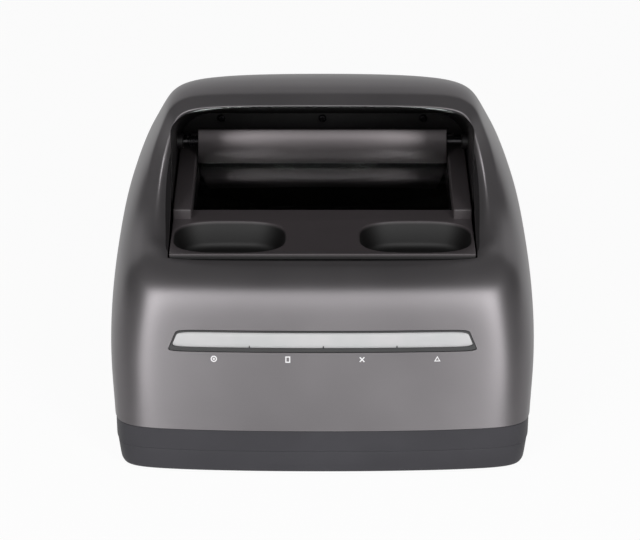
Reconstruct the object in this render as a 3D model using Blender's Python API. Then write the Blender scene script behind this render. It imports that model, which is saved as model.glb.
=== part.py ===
"""Desktop full-page passport reader: a hooded shell over a document tray, built as separate pieces.

Metres, +Z up, -Y is the side that the user faces. The origin is under the middle of the object,
on the surface that it stands on.
"""
import math

import bmesh
import bpy
import numpy as np
from mathutils import Vector
from mathutils.bvhtree import BVHTree

# Driving dimensions: widths, from the document outwards
DOCUMENT_WIDTH = 0.125
DOCUMENT_SIDE_PLAY = 0.001
GUIDE_WIDTH = 0.009
TRAY_SLIT = 0.0008
CHEEK_WIDTH = 0.028

# Driving dimensions: depths, from the front backwards
FRONT_OVERHANG = 0.042
TRAY_APRON = 0.050
PLATEN_SETBACK = 0.006
PLATEN_LENGTH = 0.094
STOP_THICKNESS = 0.0027
BACK_SPACE = 0.013

# Driving dimensions: heights, from the ground up
FOOT_HEIGHT = 0.002
BASE_HEIGHT = 0.0227
BODY_HEIGHT = 0.0728
HOOD_HEIGHT = 0.064

# Walls, clearances and the one overrun of cuts
SHELL_WALL = 0.0025
FLOOR_WALL = 0.0025
LINER_WALL = 0.0016
HOUSING_WALL = 0.002
BOARD_THICKNESS = 0.0016
SEAT_GAP = 0.0003
SCREW_PLAY = 0.0003
HAIR = 0.00001
OVERRUN = 0.004

# Levels that the pieces share
GUIDE_INSIDE = DOCUMENT_WIDTH / 2 + DOCUMENT_SIDE_PLAY
TRAY_SIDE = GUIDE_INSIDE + GUIDE_WIDTH
OPENING_SIDE = TRAY_SIDE + TRAY_SLIT
OUTER_SIDE = OPENING_SIDE + CHEEK_WIDTH
HOOD_DEPTH = PLATEN_SETBACK + PLATEN_LENGTH + SEAT_GAP + STOP_THICKNESS + BACK_SPACE
BACK = (FRONT_OVERHANG + TRAY_APRON + HOOD_DEPTH) / 2
FRONT = -BACK
TRAY_FRONT = FRONT + FRONT_OVERHANG
RIM = TRAY_FRONT + TRAY_APRON
TRAY_BACK = BACK - BACK_SPACE
PLATEN_FRONT = RIM + PLATEN_SETBACK
PLATEN_BACK = PLATEN_FRONT + PLATEN_LENGTH
PLATEN_MIDDLE = (PLATEN_FRONT + PLATEN_BACK) / 2
PARTING = FOOT_HEIGHT + BASE_HEIGHT
TRAY_TOP = PARTING + BODY_HEIGHT
TOP = TRAY_TOP + HOOD_HEIGHT
FLOOR_TOP = FOOT_HEIGHT + FLOOR_WALL

# Document tray, platen and what lies under them
TRAY_THICKNESS = 0.003
GUIDE_HEIGHT = 0.005
GLASS_THICKNESS = 0.003
GASKET_WIDTH = 0.0016
ANTENNA_THICKNESS = 0.0012
ANTENNA_WIDTH = 0.0075
FLANGE_THICKNESS = 0.0017

TRAY_BOTTOM = TRAY_TOP - TRAY_THICKNESS
GLASS_SIDE = GUIDE_INSIDE - 2 * SEAT_GAP + SEAT_GAP / 2
GLASS_BOTTOM = TRAY_TOP - GLASS_THICKNESS
FLANGE_TOP = TRAY_BOTTOM - ANTENNA_THICKNESS - 2 * SEAT_GAP

for thing in list(bpy.data.objects):
    bpy.data.objects.remove(thing, do_unlink=True)


def finish(thing, colour, roughness, metallic=0.0):
    """Give a piece its own material."""
    material = bpy.data.materials.new(thing.name + "_finish")
    material.use_nodes = True
    shader = material.node_tree.nodes["Principled BSDF"]
    shader.inputs["Base Color"].default_value = (*colour, 1.0)
    shader.inputs["Roughness"].default_value = roughness
    shader.inputs["Metallic"].default_value = metallic
    thing.data.materials.append(material)
    return thing


def mesh_object(name, corners, faces):
    """Make an object whose faces all point outwards."""
    mesh = bpy.data.meshes.new(name)
    mesh.from_pydata([tuple(corner) for corner in corners], [], faces)
    work = bmesh.new()
    work.from_mesh(mesh)
    bmesh.ops.recalc_face_normals(work, faces=work.faces)
    work.to_mesh(mesh)
    work.free()
    thing = bpy.data.objects.new(name, mesh)
    bpy.context.scene.collection.objects.link(thing)
    return thing


def lofted(name, rings, closed=False):
    """Skin a list of equal loops; closed joins the last loop to the first, else both ends are capped."""
    count = len(rings[0])
    corners = [corner for ring in rings for corner in ring]
    faces = []
    spans = len(rings) if closed else len(rings) - 1
    for row in range(spans):
        low = row * count
        high = (row + 1) % len(rings) * count
        for step in range(count):
            after = (step + 1) % count
            faces.append((low + step, low + after, high + after, high + step))
    if not closed:
        faces.append(tuple(range(count)))
        faces.append(tuple(range(len(corners) - count, len(corners))))
    return mesh_object(name, corners, faces)


def block(name, low, high):
    """Make a box from its lowest and highest corners."""
    ring = [(low[0], low[1]), (high[0], low[1]), (high[0], high[1]), (low[0], high[1])]
    return lofted(name, [[(x, y, z) for x, y in ring] for z in (low[2], high[2])])


def side_prism(name, outline, half_width):
    """Extrude an outline of (y, z) places across the object."""
    return lofted(name, [[(x, y, z) for y, z in outline] for x in (-half_width, half_width)])


def turned(name, profile, place, axis="Z", sides=16):
    """Turn a profile of (radius, height) pairs about an axis through a place."""
    rings = []
    for radius, height in profile:
        ring = []
        for step in range(sides):
            angle = math.tau * (step + 1 / 2) / sides
            across, along = radius * math.cos(angle), radius * math.sin(angle)
            offsets = {"X": (height, across, along), "Y": (across, height, along),
                       "Z": (across, along, height)}
            ring.append(Vector(place) + Vector(offsets[axis]))
        rings.append(ring)
    return lofted(name, rings)


def rod(name, radius, low, high, place, axis="Z", sides=16):
    """Make a plain round rod between two heights along an axis through a place."""
    return turned(name, [(radius, low), (radius, high)], place, axis, sides)


def as_guide(thing):
    """Mark an object as a shape that only cuts or joins others."""
    thing.hide_render = True
    thing.display_type = "WIRE"
    return thing


def boolean(target, tool, operation):
    """Cut, join or trim a piece with another shape."""
    step = target.modifiers.new(tool.name, "BOOLEAN")
    step.operation = operation
    step.solver = "EXACT"
    step.object = as_guide(tool)
    return target


def cut(target, *tools):
    for tool in tools:
        boolean(target, tool, "DIFFERENCE")
    return target


def join(target, *tools):
    for tool in tools:
        boolean(target, tool, "UNION")
    return target


# Shell surface: named lines that run round the shell from its opening to the parting line.
# Each line is given at twelve stations, from the front centre round the right side to the back centre.
# A place is (x, y, z) in shares: x is 0 at the centre, 1 at the opening's side and 2 at the outer side;
# y is 0 at the front, 1 at the tray's front edge, 2 at the hood's rim and 3 at the back;
# z is 0 at the parting line, 1 at the tray and 2 at the top.
SHELL_LINE_SHARES = {
    "inner_edge": [
        (0.00, 1.140, 0.955), (0.55, 1.140, 0.955), (0.90, 1.120, 0.960), (0.91, 1.120, 0.974),
        (0.93, 1.220, 0.999), (0.93, 1.360, 1.008), (0.93, 1.860, 1.102), (0.93, 2.078, 1.414),
        (0.87, 2.078, 1.641), (0.74, 2.078, 1.780), (0.41, 2.078, 1.809), (0.00, 2.078, 1.812),
    ],
    "lip_inside": [
        (0.00, 1.020, 0.956), (0.56, 1.020, 0.956), (0.93, 1.014, 0.962), (0.99, 1.040, 0.981),
        (1.04, 1.160, 1.008), (1.04, 1.330, 1.019), (1.10, 1.740, 1.158), (1.06, 1.972, 1.461),
        (0.95, 1.976, 1.717), (0.89, 1.980, 1.842), (0.57, 1.988, 1.870), (0.00, 1.990, 1.872),
    ],
    "lip": [
        (0.00, 0.905, 0.955), (0.56, 0.914, 0.955), (0.95, 0.914, 0.957), (1.08, 0.964, 0.979),
        (1.19, 1.110, 1.009), (1.17, 1.320, 1.027), (1.21, 1.678, 1.192), (1.13, 1.940, 1.470),
        (0.98, 1.938, 1.744), (0.92, 1.936, 1.869), (0.58, 1.934, 1.889), (0.00, 1.934, 1.891),
    ],
    "band": [
        (0.00, 0.774, 0.938), (0.57, 0.786, 0.938), (0.97, 0.795, 0.938), (1.20, 0.881, 0.963),
        (1.33, 1.050, 1.005), (1.29, 1.320, 1.036), (1.25, 1.684, 1.194), (1.16, 1.954, 1.477),
        (0.99, 1.950, 1.755), (0.92, 1.946, 1.880), (0.58, 1.944, 1.900), (0.00, 1.942, 1.902),
    ],
    "crease_inside": [
        (0.00, 0.655, 0.904), (0.57, 0.667, 0.904), (0.98, 0.683, 0.902), (1.31, 0.786, 0.933),
        (1.44, 0.988, 0.990), (1.39, 1.320, 1.042), (1.42, 1.748, 1.155), (1.34, 2.018, 1.462),
        (1.11, 2.028, 1.722), (0.97, 2.031, 1.933), (0.60, 2.036, 1.948), (0.00, 2.036, 1.950),
    ],
    "crease": [
        (0.00, 0.552, 0.856), (0.57, 0.567, 0.856), (1.00, 0.588, 0.854), (1.40, 0.690, 0.887),
        (1.55, 0.929, 0.959), (1.50, 1.320, 1.033), (1.46, 1.766, 1.142), (1.38, 2.024, 1.459),
        (1.14, 2.034, 1.730), (0.98, 2.039, 1.939), (0.61, 2.044, 1.953), (0.00, 2.044, 1.955),
    ],
    "shoulder": [
        (0.00, 0.476, 0.787), (0.57, 0.493, 0.787), (1.01, 0.519, 0.787), (1.47, 0.607, 0.828),
        (1.69, 0.869, 0.904), (1.69, 1.320, 0.986), (1.69, 1.800, 1.086), (1.53, 2.103, 1.383),
        (1.15, 2.180, 1.720), (1.00, 2.200, 1.980), (0.68, 2.210, 2.021), (0.00, 2.210, 2.024),
    ],
    "upper_flank": [
        (0.00, 0.414, 0.691), (0.57, 0.431, 0.691), (1.03, 0.455, 0.691), (1.54, 0.524, 0.718),
        (1.83, 0.798, 0.773), (1.90, 1.310, 0.870), (1.91, 2.000, 0.897), (1.81, 2.319, 1.102),
        (1.43, 2.517, 1.383), (1.13, 2.638, 1.575), (0.60, 2.655, 1.684), (0.00, 2.655, 1.700),
    ],
    "middle_flank": [
        (0.00, 0.281, 0.464), (0.58, 0.300, 0.464), (1.06, 0.336, 0.464), (1.65, 0.393, 0.485),
        (1.96, 0.702, 0.512), (2.01, 1.300, 0.622), (2.01, 2.060, 0.622), (1.96, 2.466, 0.705),
        (1.83, 2.836, 0.924), (1.40, 2.985, 1.234), (0.64, 2.997, 1.438), (0.00, 3.000, 1.445),
    ],
    "lower_flank": [
        (0.00, 0.138, 0.231), (0.58, 0.160, 0.231), (1.07, 0.200, 0.231), (1.72, 0.267, 0.238),
        (2.00, 0.607, 0.251), (2.03, 1.300, 0.320), (2.03, 2.078, 0.320), (2.01, 2.500, 0.348),
        (1.92, 2.841, 0.444), (1.54, 2.978, 0.540), (0.64, 2.998, 0.718), (0.00, 3.002, 0.732),
    ],
    "parting": [
        (0.00, 0.000, 0.000), (0.57, 0.019, 0.000), (1.03, 0.071, 0.000), (1.80, 0.160, 0.000),
        (1.94, 0.548, 0.000), (1.90, 1.300, 0.000), (1.89, 2.078, 0.000), (1.87, 2.500, 0.000),
        (1.83, 2.828, 0.000), (1.49, 2.964, 0.000), (0.63, 2.990, 0.000), (0.00, 2.993, 0.000),
    ],
}
# Lines of the outer net that the inner skin follows, with near pairs taken as one
INNER_LINE_PAIRS = [(0, 0), (1, 2), (4, 5), (6, 6), (7, 7), (8, 8), (9, 9), (10, 10)]
COLUMNS_PER_STATION = 3
ROWS_PER_LINE = 2


def level(share, levels):
    """Read a share as a place between neighbouring levels."""
    first = min(int(share), len(levels) - 2)
    return levels[first] + (share - first) * (levels[first + 1] - levels[first])


def shell_net():
    """Give the control places as an array of stations all the way round, by lines, by x, y and z."""
    lines = []
    for shares in SHELL_LINE_SHARES.values():
        right = [(level(x, (0, OPENING_SIDE, OUTER_SIDE)),
                  level(y, (FRONT, TRAY_FRONT, RIM, BACK)),
                  level(z, (PARTING, TRAY_TOP, TOP))) for x, y, z in shares]
        left = [(-x, y, z) for x, y, z in reversed(right[1:-1])]
        lines.append(right + left)
    return np.array(lines).transpose(1, 0, 2)


def spline_weights(t):
    """Give the uniform cubic B-spline's four weights at t."""
    return np.array([(1 - t) ** 3, 3 * t ** 3 - 6 * t ** 2 + 4, -3 * t ** 3 + 3 * t ** 2 + 3 * t + 1,
                     t ** 3]) / 6


def spline_surface(net, columns, rows):
    """Evaluate a net, closed round the stations and ending on its first and last lines."""
    ends = np.concatenate([2 * net[:, :1] - net[:, 1:2], net, 2 * net[:, -1:] - net[:, -2:-1]], axis=1)
    lines = []
    for span in range(net.shape[1] - 1):
        for step in range(rows):
            weights = spline_weights(step / rows)
            lines.append(np.tensordot(weights, ends[:, span:span + 4], axes=(0, 1)))
    lines.append(net[:, -1])
    surface = []
    for line in lines:
        ring = []
        for station in range(len(line)):
            near = [line[(station + shift) % len(line)] for shift in (-1, 0, 1, 2)]
            for step in range(columns):
                ring.append(Vector(spline_weights(step / columns) @ np.array(near)))
        surface.append(ring)
    return surface


def inward_net(net, wall):
    """Give the net of a skin that lies one wall inside another."""
    merged = np.stack([(net[:, first] + net[:, second]) / 2 for first, second in INNER_LINE_PAIRS], axis=1)
    along = np.roll(merged, -1, axis=0) - np.roll(merged, 1, axis=0)
    across = np.gradient(merged, axis=1)
    normal = np.cross(along, across)
    normal /= np.linalg.norm(normal, axis=2, keepdims=True)
    moved = merged + normal * wall
    moved[:, -1, 2] = PARTING
    return moved


NET = shell_net()
OUTER_SKIN = spline_surface(NET, COLUMNS_PER_STATION, ROWS_PER_LINE)
INNER_SKIN = spline_surface(inward_net(NET, SHELL_WALL), COLUMNS_PER_STATION, ROWS_PER_LINE)
PARTING_OUTER = OUTER_SKIN[-1]


def skin_tree(skin):
    """Prepare a skin for finding where a ray meets it."""
    count = len(skin[0])
    corners = [corner for ring in skin for corner in ring]
    faces = []
    for row in range(len(skin) - 1):
        for step in range(count):
            after = (step + 1) % count
            faces.append((row * count + step, row * count + after,
                          (row + 1) * count + after, (row + 1) * count + step))
    return BVHTree.FromPolygons(corners, faces)


INNER_TREE = skin_tree(INNER_SKIN)
OUTER_TREE = skin_tree(OUTER_SKIN)


def meet(tree, origin, direction):
    """Find where a ray from inside meets a skin, a hair beside the seam between two faces."""
    return tree.ray_cast(Vector(origin) + Vector((HAIR, HAIR, HAIR)), Vector(direction))[0]


# Cavity: the opening through the shell, an arch over the tray
ARCH_RADIUS = 0.011
ARCH_BACK_RADIUS = 0.016
ARCH_CROWN_DROP = 0.011
LINER_LIP_GAP = 0.00145
LINER_BACK_GAP = 0.0003
LINER_CORNER_GAP = 0.00244
ARCH_SEGMENTS = 5

ARCH_TOP = TOP - ARCH_CROWN_DROP
LINER_BOTTOM = TRAY_BOTTOM + SEAT_GAP
LIP_BACK = NET[:, 0, 1].max()
LINER_FRONT = LIP_BACK + LINER_LIP_GAP
LINER_BACK = TRAY_BACK + LINER_BACK_GAP

# The ceiling falls to the back, where the corner of the arch passes under the shell's inner skin
CORNER_RADIUS = ARCH_BACK_RADIUS + LINER_WALL
CORNER_SIDE = OPENING_SIDE - ARCH_BACK_RADIUS + CORNER_RADIUS / math.sqrt(2)
CORNER_SKIN = meet(INNER_TREE, (CORNER_SIDE, LINER_BACK + LINER_WALL, TRAY_TOP), (0, 0, 1)).z
CEILING_BACK = CORNER_SKIN - LINER_CORNER_GAP - LINER_WALL + CORNER_RADIUS * (1 - 1 / math.sqrt(2))
CEILING_FALL = ARCH_TOP - CEILING_BACK


def arch(y, top, low, grow=0.0):
    """Give an upright arch outline at one depth, grown outwards by a wall."""
    side = OPENING_SIDE + grow
    share = (ARCH_TOP - top) / CEILING_FALL
    radius = ARCH_RADIUS + (ARCH_BACK_RADIUS - ARCH_RADIUS) * share + grow
    high = top + grow
    ring = [(-side, y, low), (side, y, low)]
    for sign, turn in ((1, 0), (-1, 1)):
        for step in range(ARCH_SEGMENTS + 1):
            angle = math.pi / 2 * (turn + step / ARCH_SEGMENTS)
            ring.append((sign * (side - radius) + radius * math.cos(angle), y,
                         high - radius + radius * math.sin(angle)))
    return ring


def opening_cutter():
    """Shape the hole through the shell: the tray's outline in front, the arch at the rim."""
    low = TRAY_TOP - BODY_HEIGHT / 4
    start = TRAY_FRONT - SEAT_GAP
    end = LIP_BACK + SHELL_WALL + OVERRUN
    return lofted("opening_cutter", [arch(start, ARCH_TOP, low), arch(end, ARCH_TOP, low)])


# Light bar: a place on the front face, and sizes along it
BAR_HEIGHT = 0.0403
BAR_END_INSET = 0.0303
BAR_END_LEAN = 0.003
BAR_LENS_HEIGHT = 0.0071
BAR_LENS_THICKNESS = 0.0022
BAR_LENS_DEPTH = 0.0012
BEZEL_RIM = 0.0008
BEZEL_SILL = 0.0019
BEZEL_PROUD = -0.0002
DIVIDER_DEPTH = 0.0042
DIVIDER_WALL = 0.0012
BAR_CORNER = 0.0013
BAR_SQUARENESS = 24
BAR_CELLS = 4
BAR_STEPS = 12

BAR_Z = PARTING + BAR_HEIGHT
BAR_BOTTOM_WIDTH = (OUTER_SIDE - BAR_END_INSET) * 2
BAR_TOP_WIDTH = BAR_BOTTOM_WIDTH - BAR_END_LEAN * 2
BEZEL_THICKNESS = BAR_LENS_DEPTH + BAR_LENS_THICKNESS


def face_place(x, z):
    """Find the front face's surface at one width and height."""
    return meet(OUTER_TREE, (x, TRAY_FRONT, z), (0, -1, 0))


FACE_LOW = face_place(0, BAR_Z - BAR_LENS_HEIGHT)
FACE_HIGH = face_place(0, BAR_Z + BAR_LENS_HEIGHT)
FACE_UP = (FACE_HIGH - FACE_LOW).normalized()
FACE_OUT = Vector((0, -FACE_UP.z, FACE_UP.y))
BAR_MIDDLE = (FACE_LOW + FACE_HIGH) / 2
BAR_EDGE = face_place(BAR_BOTTOM_WIDTH / 2, BAR_Z)
BAR_BOW = BAR_EDGE.y - BAR_MIDDLE.y


def on_face(x, up, out):
    """Give a place by its width, its way up the face and its way out of it, following the face's bow."""
    bow = BAR_BOW * (x / (BAR_BOTTOM_WIDTH / 2)) ** 2
    place = BAR_MIDDLE + FACE_UP * up + FACE_OUT * out
    return Vector((x, place.y + bow, place.z))


def bar_side(up):
    """Give the bar's half width at a way up the face: its ends lean inwards."""
    share = 1 / 2 + up / BAR_LENS_HEIGHT
    return (BAR_BOTTOM_WIDTH + (BAR_TOP_WIDTH - BAR_BOTTOM_WIDTH) * share) / 2


def bar_body(name, grow_side, top, bottom, out, inward):
    """Make a bowed bar between two heights on the face and two depths, with round ends."""
    rings = []
    height = top - bottom
    for step in range(-BAR_STEPS, BAR_STEPS + 1):
        share = math.sin(math.pi / 2 * step / BAR_STEPS)
        squeeze = math.sqrt(max(0, 1 - abs(share) ** BAR_SQUARENESS))
        half = height / 2 - BAR_CORNER * (1 - squeeze)
        middle = (top + bottom) / 2
        ring = []
        for up, depth in ((half, out), (-half, out), (-half, inward), (half, inward)):
            ring.append(on_face(share * (bar_side(middle + up) + grow_side), middle + up, depth))
        rings.append(ring)
    return lofted(name, rings)


BAR_LENS_TOP = BAR_LENS_HEIGHT / 2
BEZEL_TOP = BAR_LENS_TOP + BEZEL_RIM
BEZEL_BOTTOM = -BAR_LENS_TOP - BEZEL_SILL

# Fasteners and bosses
SCREW_RADIUS = 0.00125
SCREW_HEAD_RADIUS = 0.0028
SCREW_HEAD_HEIGHT = 0.002
SMALL_SCREW_RADIUS = 0.001
SMALL_HEAD_RADIUS = 0.0021
SMALL_HEAD_HEIGHT = 0.0014
BOSS_RADIUS = 0.0042
BOSS_BITE = 0.010
POST_RADIUS = 0.0028
POST_SIDES = 12
FRONT_BOSS_INSET = 0.0067
FRONT_BOSS_SETBACK = 0.010
BACK_BOSS_SIDE = 0.056
BACK_BOSS_INSET = 0.014
BOSS_RIB = 0.003
BACK_RIB_HEIGHT = 0.035

SCREW_HOLE = SCREW_RADIUS + SCREW_PLAY
SMALL_HOLE = SMALL_SCREW_RADIUS + SCREW_PLAY
FRONT_BOSS = (OPENING_SIDE + FRONT_BOSS_INSET, TRAY_FRONT + FRONT_BOSS_SETBACK)
BACK_BOSS = (BACK_BOSS_SIDE, BACK - BACK_BOSS_INSET)
BASE_SCREW_PLACES = {
    "front_right": FRONT_BOSS, "front_left": (-FRONT_BOSS[0], FRONT_BOSS[1]),
    "back_right": BACK_BOSS, "back_left": (-BACK_BOSS[0], BACK_BOSS[1]),
}
COUNTERBORE_DEPTH = 0.003
LINER_SCREW_INSET = 0.0053
LINER_SCREW_DROP = 0.0004
LINER_SCREW_BITE = 0.003
LINER_SCREW_SPACING = OPENING_SIDE - ARCH_BACK_RADIUS - LINER_SCREW_INSET
LINER_SCREW_Z = CEILING_BACK - SMALL_HEAD_RADIUS - LINER_SCREW_DROP
SCREW_STEEL = ((0.5, 0.5, 0.5), 0.35, 1.0)
BLACK_STEEL = ((0.1, 0.1, 0.1), 0.4, 1.0)


def screw(name, place, direction, length, radius=SCREW_RADIUS, head_radius=SCREW_HEAD_RADIUS,
          head_height=SCREW_HEAD_HEIGHT, sides=12):
    """Make a pan head screw whose head's underside is at a place and whose shank runs along a direction."""
    slot_radius = head_radius / 3
    slot_depth = head_height / 2
    profile = [(slot_radius, -head_height + slot_depth), (slot_radius, -head_height),
               (head_radius * 3 / 4, -head_height), (head_radius, -head_height * 3 / 5),
               (head_radius, 0), (radius, 0), (radius, length - radius), (radius / 2, length)]
    sign = 1 if sum(direction) > 0 else -1
    axis = "XYZ"[[abs(part) for part in direction].index(1)]
    return turned(name, [(size, sign * height) for size, height in profile], place, axis, sides)


def small_screw(name, place, direction, length):
    return screw(name, place, direction, length, SMALL_SCREW_RADIUS, SMALL_HEAD_RADIUS, SMALL_HEAD_HEIGHT, 10)


# Upper shell: one moulding with the nose, the sloped face, the cheeks and the hood
def upper_shell():
    shell = lofted("upper_shell", OUTER_SKIN + list(reversed(INNER_SKIN)), closed=True)
    cut(shell, opening_cutter(),
        bar_body("light_bar_window", BEZEL_RIM + SEAT_GAP, BEZEL_TOP + SEAT_GAP,
                 BEZEL_BOTTOM - SEAT_GAP, OVERRUN, -SHELL_WALL * 2 - OVERRUN))
    boss_low = PARTING + SEAT_GAP
    for name, (x, y) in BASE_SCREW_PLACES.items():
        if y < 0:
            top = meet(INNER_TREE, (x, y, PARTING + BODY_HEIGHT / 2), (0, 0, 1)).z + SHELL_WALL / 3
            join(shell, rod("boss_" + name, BOSS_RADIUS, boss_low, top, (x, y, 0)))
        else:
            top = boss_low + BACK_RIB_HEIGHT
            boss = rod("boss_" + name, BOSS_RADIUS, boss_low, top, (x, y, 0))
            low_wall = meet(INNER_TREE, (x, y, boss_low), (0, 1, 0)).y + SHELL_WALL / 2
            high_wall = meet(INNER_TREE, (x, y, top), (0, 1, 0)).y + SHELL_WALL / 2
            outline = [(y, boss_low), (low_wall, boss_low), (high_wall, top), (y, top)]
            rib = lofted("rib_" + name, [[(x + side, across, height) for across, height in outline]
                                         for side in (-BOSS_RIB / 2, BOSS_RIB / 2)])
            join(shell, boss, rib)
        cut(shell, rod("pilot_" + name, SCREW_HOLE, boss_low - OVERRUN, boss_low + BOSS_BITE + OVERRUN,
                       (x, y, 0)))
    for index in (-1, 0, 1):
        place = (index * LINER_SCREW_SPACING, 0, LINER_SCREW_Z)
        start = LINER_BACK + LINER_WALL + SEAT_GAP
        wall = meet(INNER_TREE, (place[0], LINER_BACK, place[2]), (0, 1, 0)).y + SHELL_WALL / 2
        join(shell, rod("liner_boss_%d" % index, POST_RADIUS, start, wall, place, "Y", POST_SIDES))
        cut(shell, rod("liner_pilot_%d" % index, SMALL_HOLE, start - OVERRUN,
                       start + LINER_SCREW_BITE + SEAT_GAP, place, "Y", POST_SIDES))
    return finish(shell, (0.21, 0.19, 0.20), 0.42, 0.3)


upper_shell()

# Base tray: the lower housing, a tub with a crease half-way down its wall
BASE_LIP_INSET = 0.0004
BASE_CREASE_INSET = 0.0006
BASE_FOOT_INSET = 0.0022
BASE_CREASE_HEIGHT = 0.0115
BASE_EDGE_ROUND = 0.0015
FOOT_RADIUS = 0.007
FOOT_RECESS = 0.0008
BLACK_RUBBER = ((0.02, 0.02, 0.02), 0.9)
FOOT_SIDE_INSET = 0.0253
FOOT_END_INSET = 0.025
FOOT_SIDE = OUTER_SIDE - FOOT_SIDE_INSET
FOOT_END = BACK - FOOT_END_INSET
FOOT_PLACES = {
    "front_right": (FOOT_SIDE, -FOOT_END), "front_left": (-FOOT_SIDE, -FOOT_END),
    "back_right": (FOOT_SIDE, FOOT_END), "back_left": (-FOOT_SIDE, FOOT_END),
}
MAIN_BOARD_LIFT = 0.003
CONNECTOR_SILL = 0.003
CONNECTOR_LINTEL = 0.0017
BAY_END_GAP = 0.0055
SWITCH_HALF = 0.0105
SWITCH_X = 0.020

BOARD_BOTTOM = FLOOR_TOP + MAIN_BOARD_LIFT
BOARD_TOP = BOARD_BOTTOM + BOARD_THICKNESS
BAY_LOW = FLOOR_TOP + CONNECTOR_SILL
BAY_HIGH = PARTING - CONNECTOR_LINTEL
CONNECTOR_BAY_HALF = SWITCH_X + SWITCH_HALF + BAY_END_GAP


def inset_ring(ring, inset, z):
    """Move a flat ring inwards by an even distance, at a new height."""
    count = len(ring)
    moved = []
    for step, place in enumerate(ring):
        run = ring[(step + 1) % count] - ring[step - 1]
        inward = Vector((-run.y, run.x, 0)).normalized()
        moved.append(Vector((place.x, place.y, 0)) + inward * inset + Vector((0, 0, z)))
    return moved


# The main board's edges, between the camera bracket and the optics housing
MAIN_BOARD_SIDE_GAP = 0.0078
MAIN_BOARD_HALF = FRONT_BOSS[0] - BOSS_RADIUS - MAIN_BOARD_SIDE_GAP
MAIN_BOARD_BACK_GAP = 0.004
CAMERA_SETBACK = 0.032
BRACKET_THICKNESS = 0.0015
MAIN_BOARD_FRONT_GAP = 0.008
HOUSING_FRONT = PLATEN_FRONT - SEAT_GAP
MAIN_BOARD_BACK = HOUSING_FRONT - MAIN_BOARD_BACK_GAP
CAMERA_PLANE = FRONT + CAMERA_SETBACK
MAIN_BOARD_FRONT = CAMERA_PLANE + MAIN_BOARD_FRONT_GAP
BOARD_HOLE_INSET = 0.005
IO_BOARD_HALF = 0.038
IO_BOARD_DEPTH = 0.040
IO_BOARD_INSET = 0.008
IO_BOARD_BACK = BACK - IO_BOARD_INSET
IO_BOARD_FRONT = IO_BOARD_BACK - IO_BOARD_DEPTH

MAIN_SCREW_PLACES = [(sign * (MAIN_BOARD_HALF - BOARD_HOLE_INSET), y)
                     for sign in (1, -1) for y in (MAIN_BOARD_FRONT + BOARD_HOLE_INSET,
                                                   MAIN_BOARD_BACK - BOARD_HOLE_INSET)]
IO_SCREW_PLACES = [(sign * (IO_BOARD_HALF - BOARD_HOLE_INSET), IO_BOARD_FRONT + BOARD_HOLE_INSET)
                   for sign in (1, -1)]
BRACKET_FOOT = 0.016
BRACKET_HALF = 0.019
BRACKET_SCREW_PLACES = [(sign * (BRACKET_HALF - BOARD_HOLE_INSET), CAMERA_PLANE - BRACKET_FOOT / 2)
                        for sign in (1, -1)]
HOUSING_OUTSIDE = GLASS_SIDE + SEAT_GAP
HOUSING_EAR = 0.010
HOUSING_EAR_DEPTH = 0.012
HOUSING_SCREW_PLACES = [(sign * (HOUSING_OUTSIDE + HOUSING_EAR / 2), HOUSING_FRONT + HOUSING_EAR_DEPTH / 2)
                        for sign in (1, -1)]
LIFTED_SCREW_PLACES = MAIN_SCREW_PLACES + IO_SCREW_PLACES
FLOOR_SCREW_PLACES = BRACKET_SCREW_PLACES + HOUSING_SCREW_PLACES
FLOOR_SCREW_POST = 0.002
FLOOR_SCREW_LENGTH = 0.0045


def base_tray():
    rim = PARTING - SEAT_GAP
    outer = [
        inset_ring(PARTING_OUTER, BASE_FOOT_INSET + BASE_EDGE_ROUND, FOOT_HEIGHT),
        inset_ring(PARTING_OUTER, BASE_FOOT_INSET, FOOT_HEIGHT + BASE_EDGE_ROUND),
        inset_ring(PARTING_OUTER, BASE_CREASE_INSET, FOOT_HEIGHT + BASE_CREASE_HEIGHT),
        inset_ring(PARTING_OUTER, BASE_LIP_INSET, rim),
    ]
    inner = [
        inset_ring(PARTING_OUTER, BASE_LIP_INSET + SHELL_WALL, rim),
        inset_ring(PARTING_OUTER, BASE_FOOT_INSET + SHELL_WALL, FLOOR_TOP),
    ]
    base = lofted("base_tray", outer + inner)
    for name, (x, y) in BASE_SCREW_PLACES.items():
        place = (x, y, 0)
        join(base, rod("base_boss_" + name, BOSS_RADIUS, FOOT_HEIGHT + FLOOR_WALL / 2, PARTING, place))
        cut(base, rod("base_hole_" + name, SCREW_HOLE, 0, PARTING + OVERRUN, place),
            rod("counterbore_" + name, SCREW_HEAD_RADIUS + SCREW_PLAY, 0,
                FOOT_HEIGHT + COUNTERBORE_DEPTH, place))
    for name, (x, y) in FOOT_PLACES.items():
        cut(base, rod("foot_recess_" + name, FOOT_RADIUS + SEAT_GAP, 0, FOOT_HEIGHT + FOOT_RECESS, (x, y, 0)))
    posts = [(place, BOARD_BOTTOM - SEAT_GAP) for place in LIFTED_SCREW_PLACES]
    posts += [(place, FLOOR_TOP + FLOOR_SCREW_POST) for place in FLOOR_SCREW_PLACES]
    post_root = FOOT_HEIGHT + FLOOR_WALL / 2
    for index, ((x, y), top) in enumerate(posts):
        join(base, rod("post_%d" % index, POST_RADIUS, post_root, top, (x, y, 0), sides=POST_SIDES))
        cut(base, rod("post_hole_%d" % index, SMALL_HOLE, post_root, top + OVERRUN, (x, y, 0),
                      sides=POST_SIDES))
    cut(base, block("connector_bay", (-CONNECTOR_BAY_HALF, BACK - BACK_SPACE / 2, BAY_LOW),
                    (CONNECTOR_BAY_HALF, BACK + OVERRUN, BAY_HIGH)))
    return finish(base, (0.055, 0.056, 0.062), 0.55)


base_tray()

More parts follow.
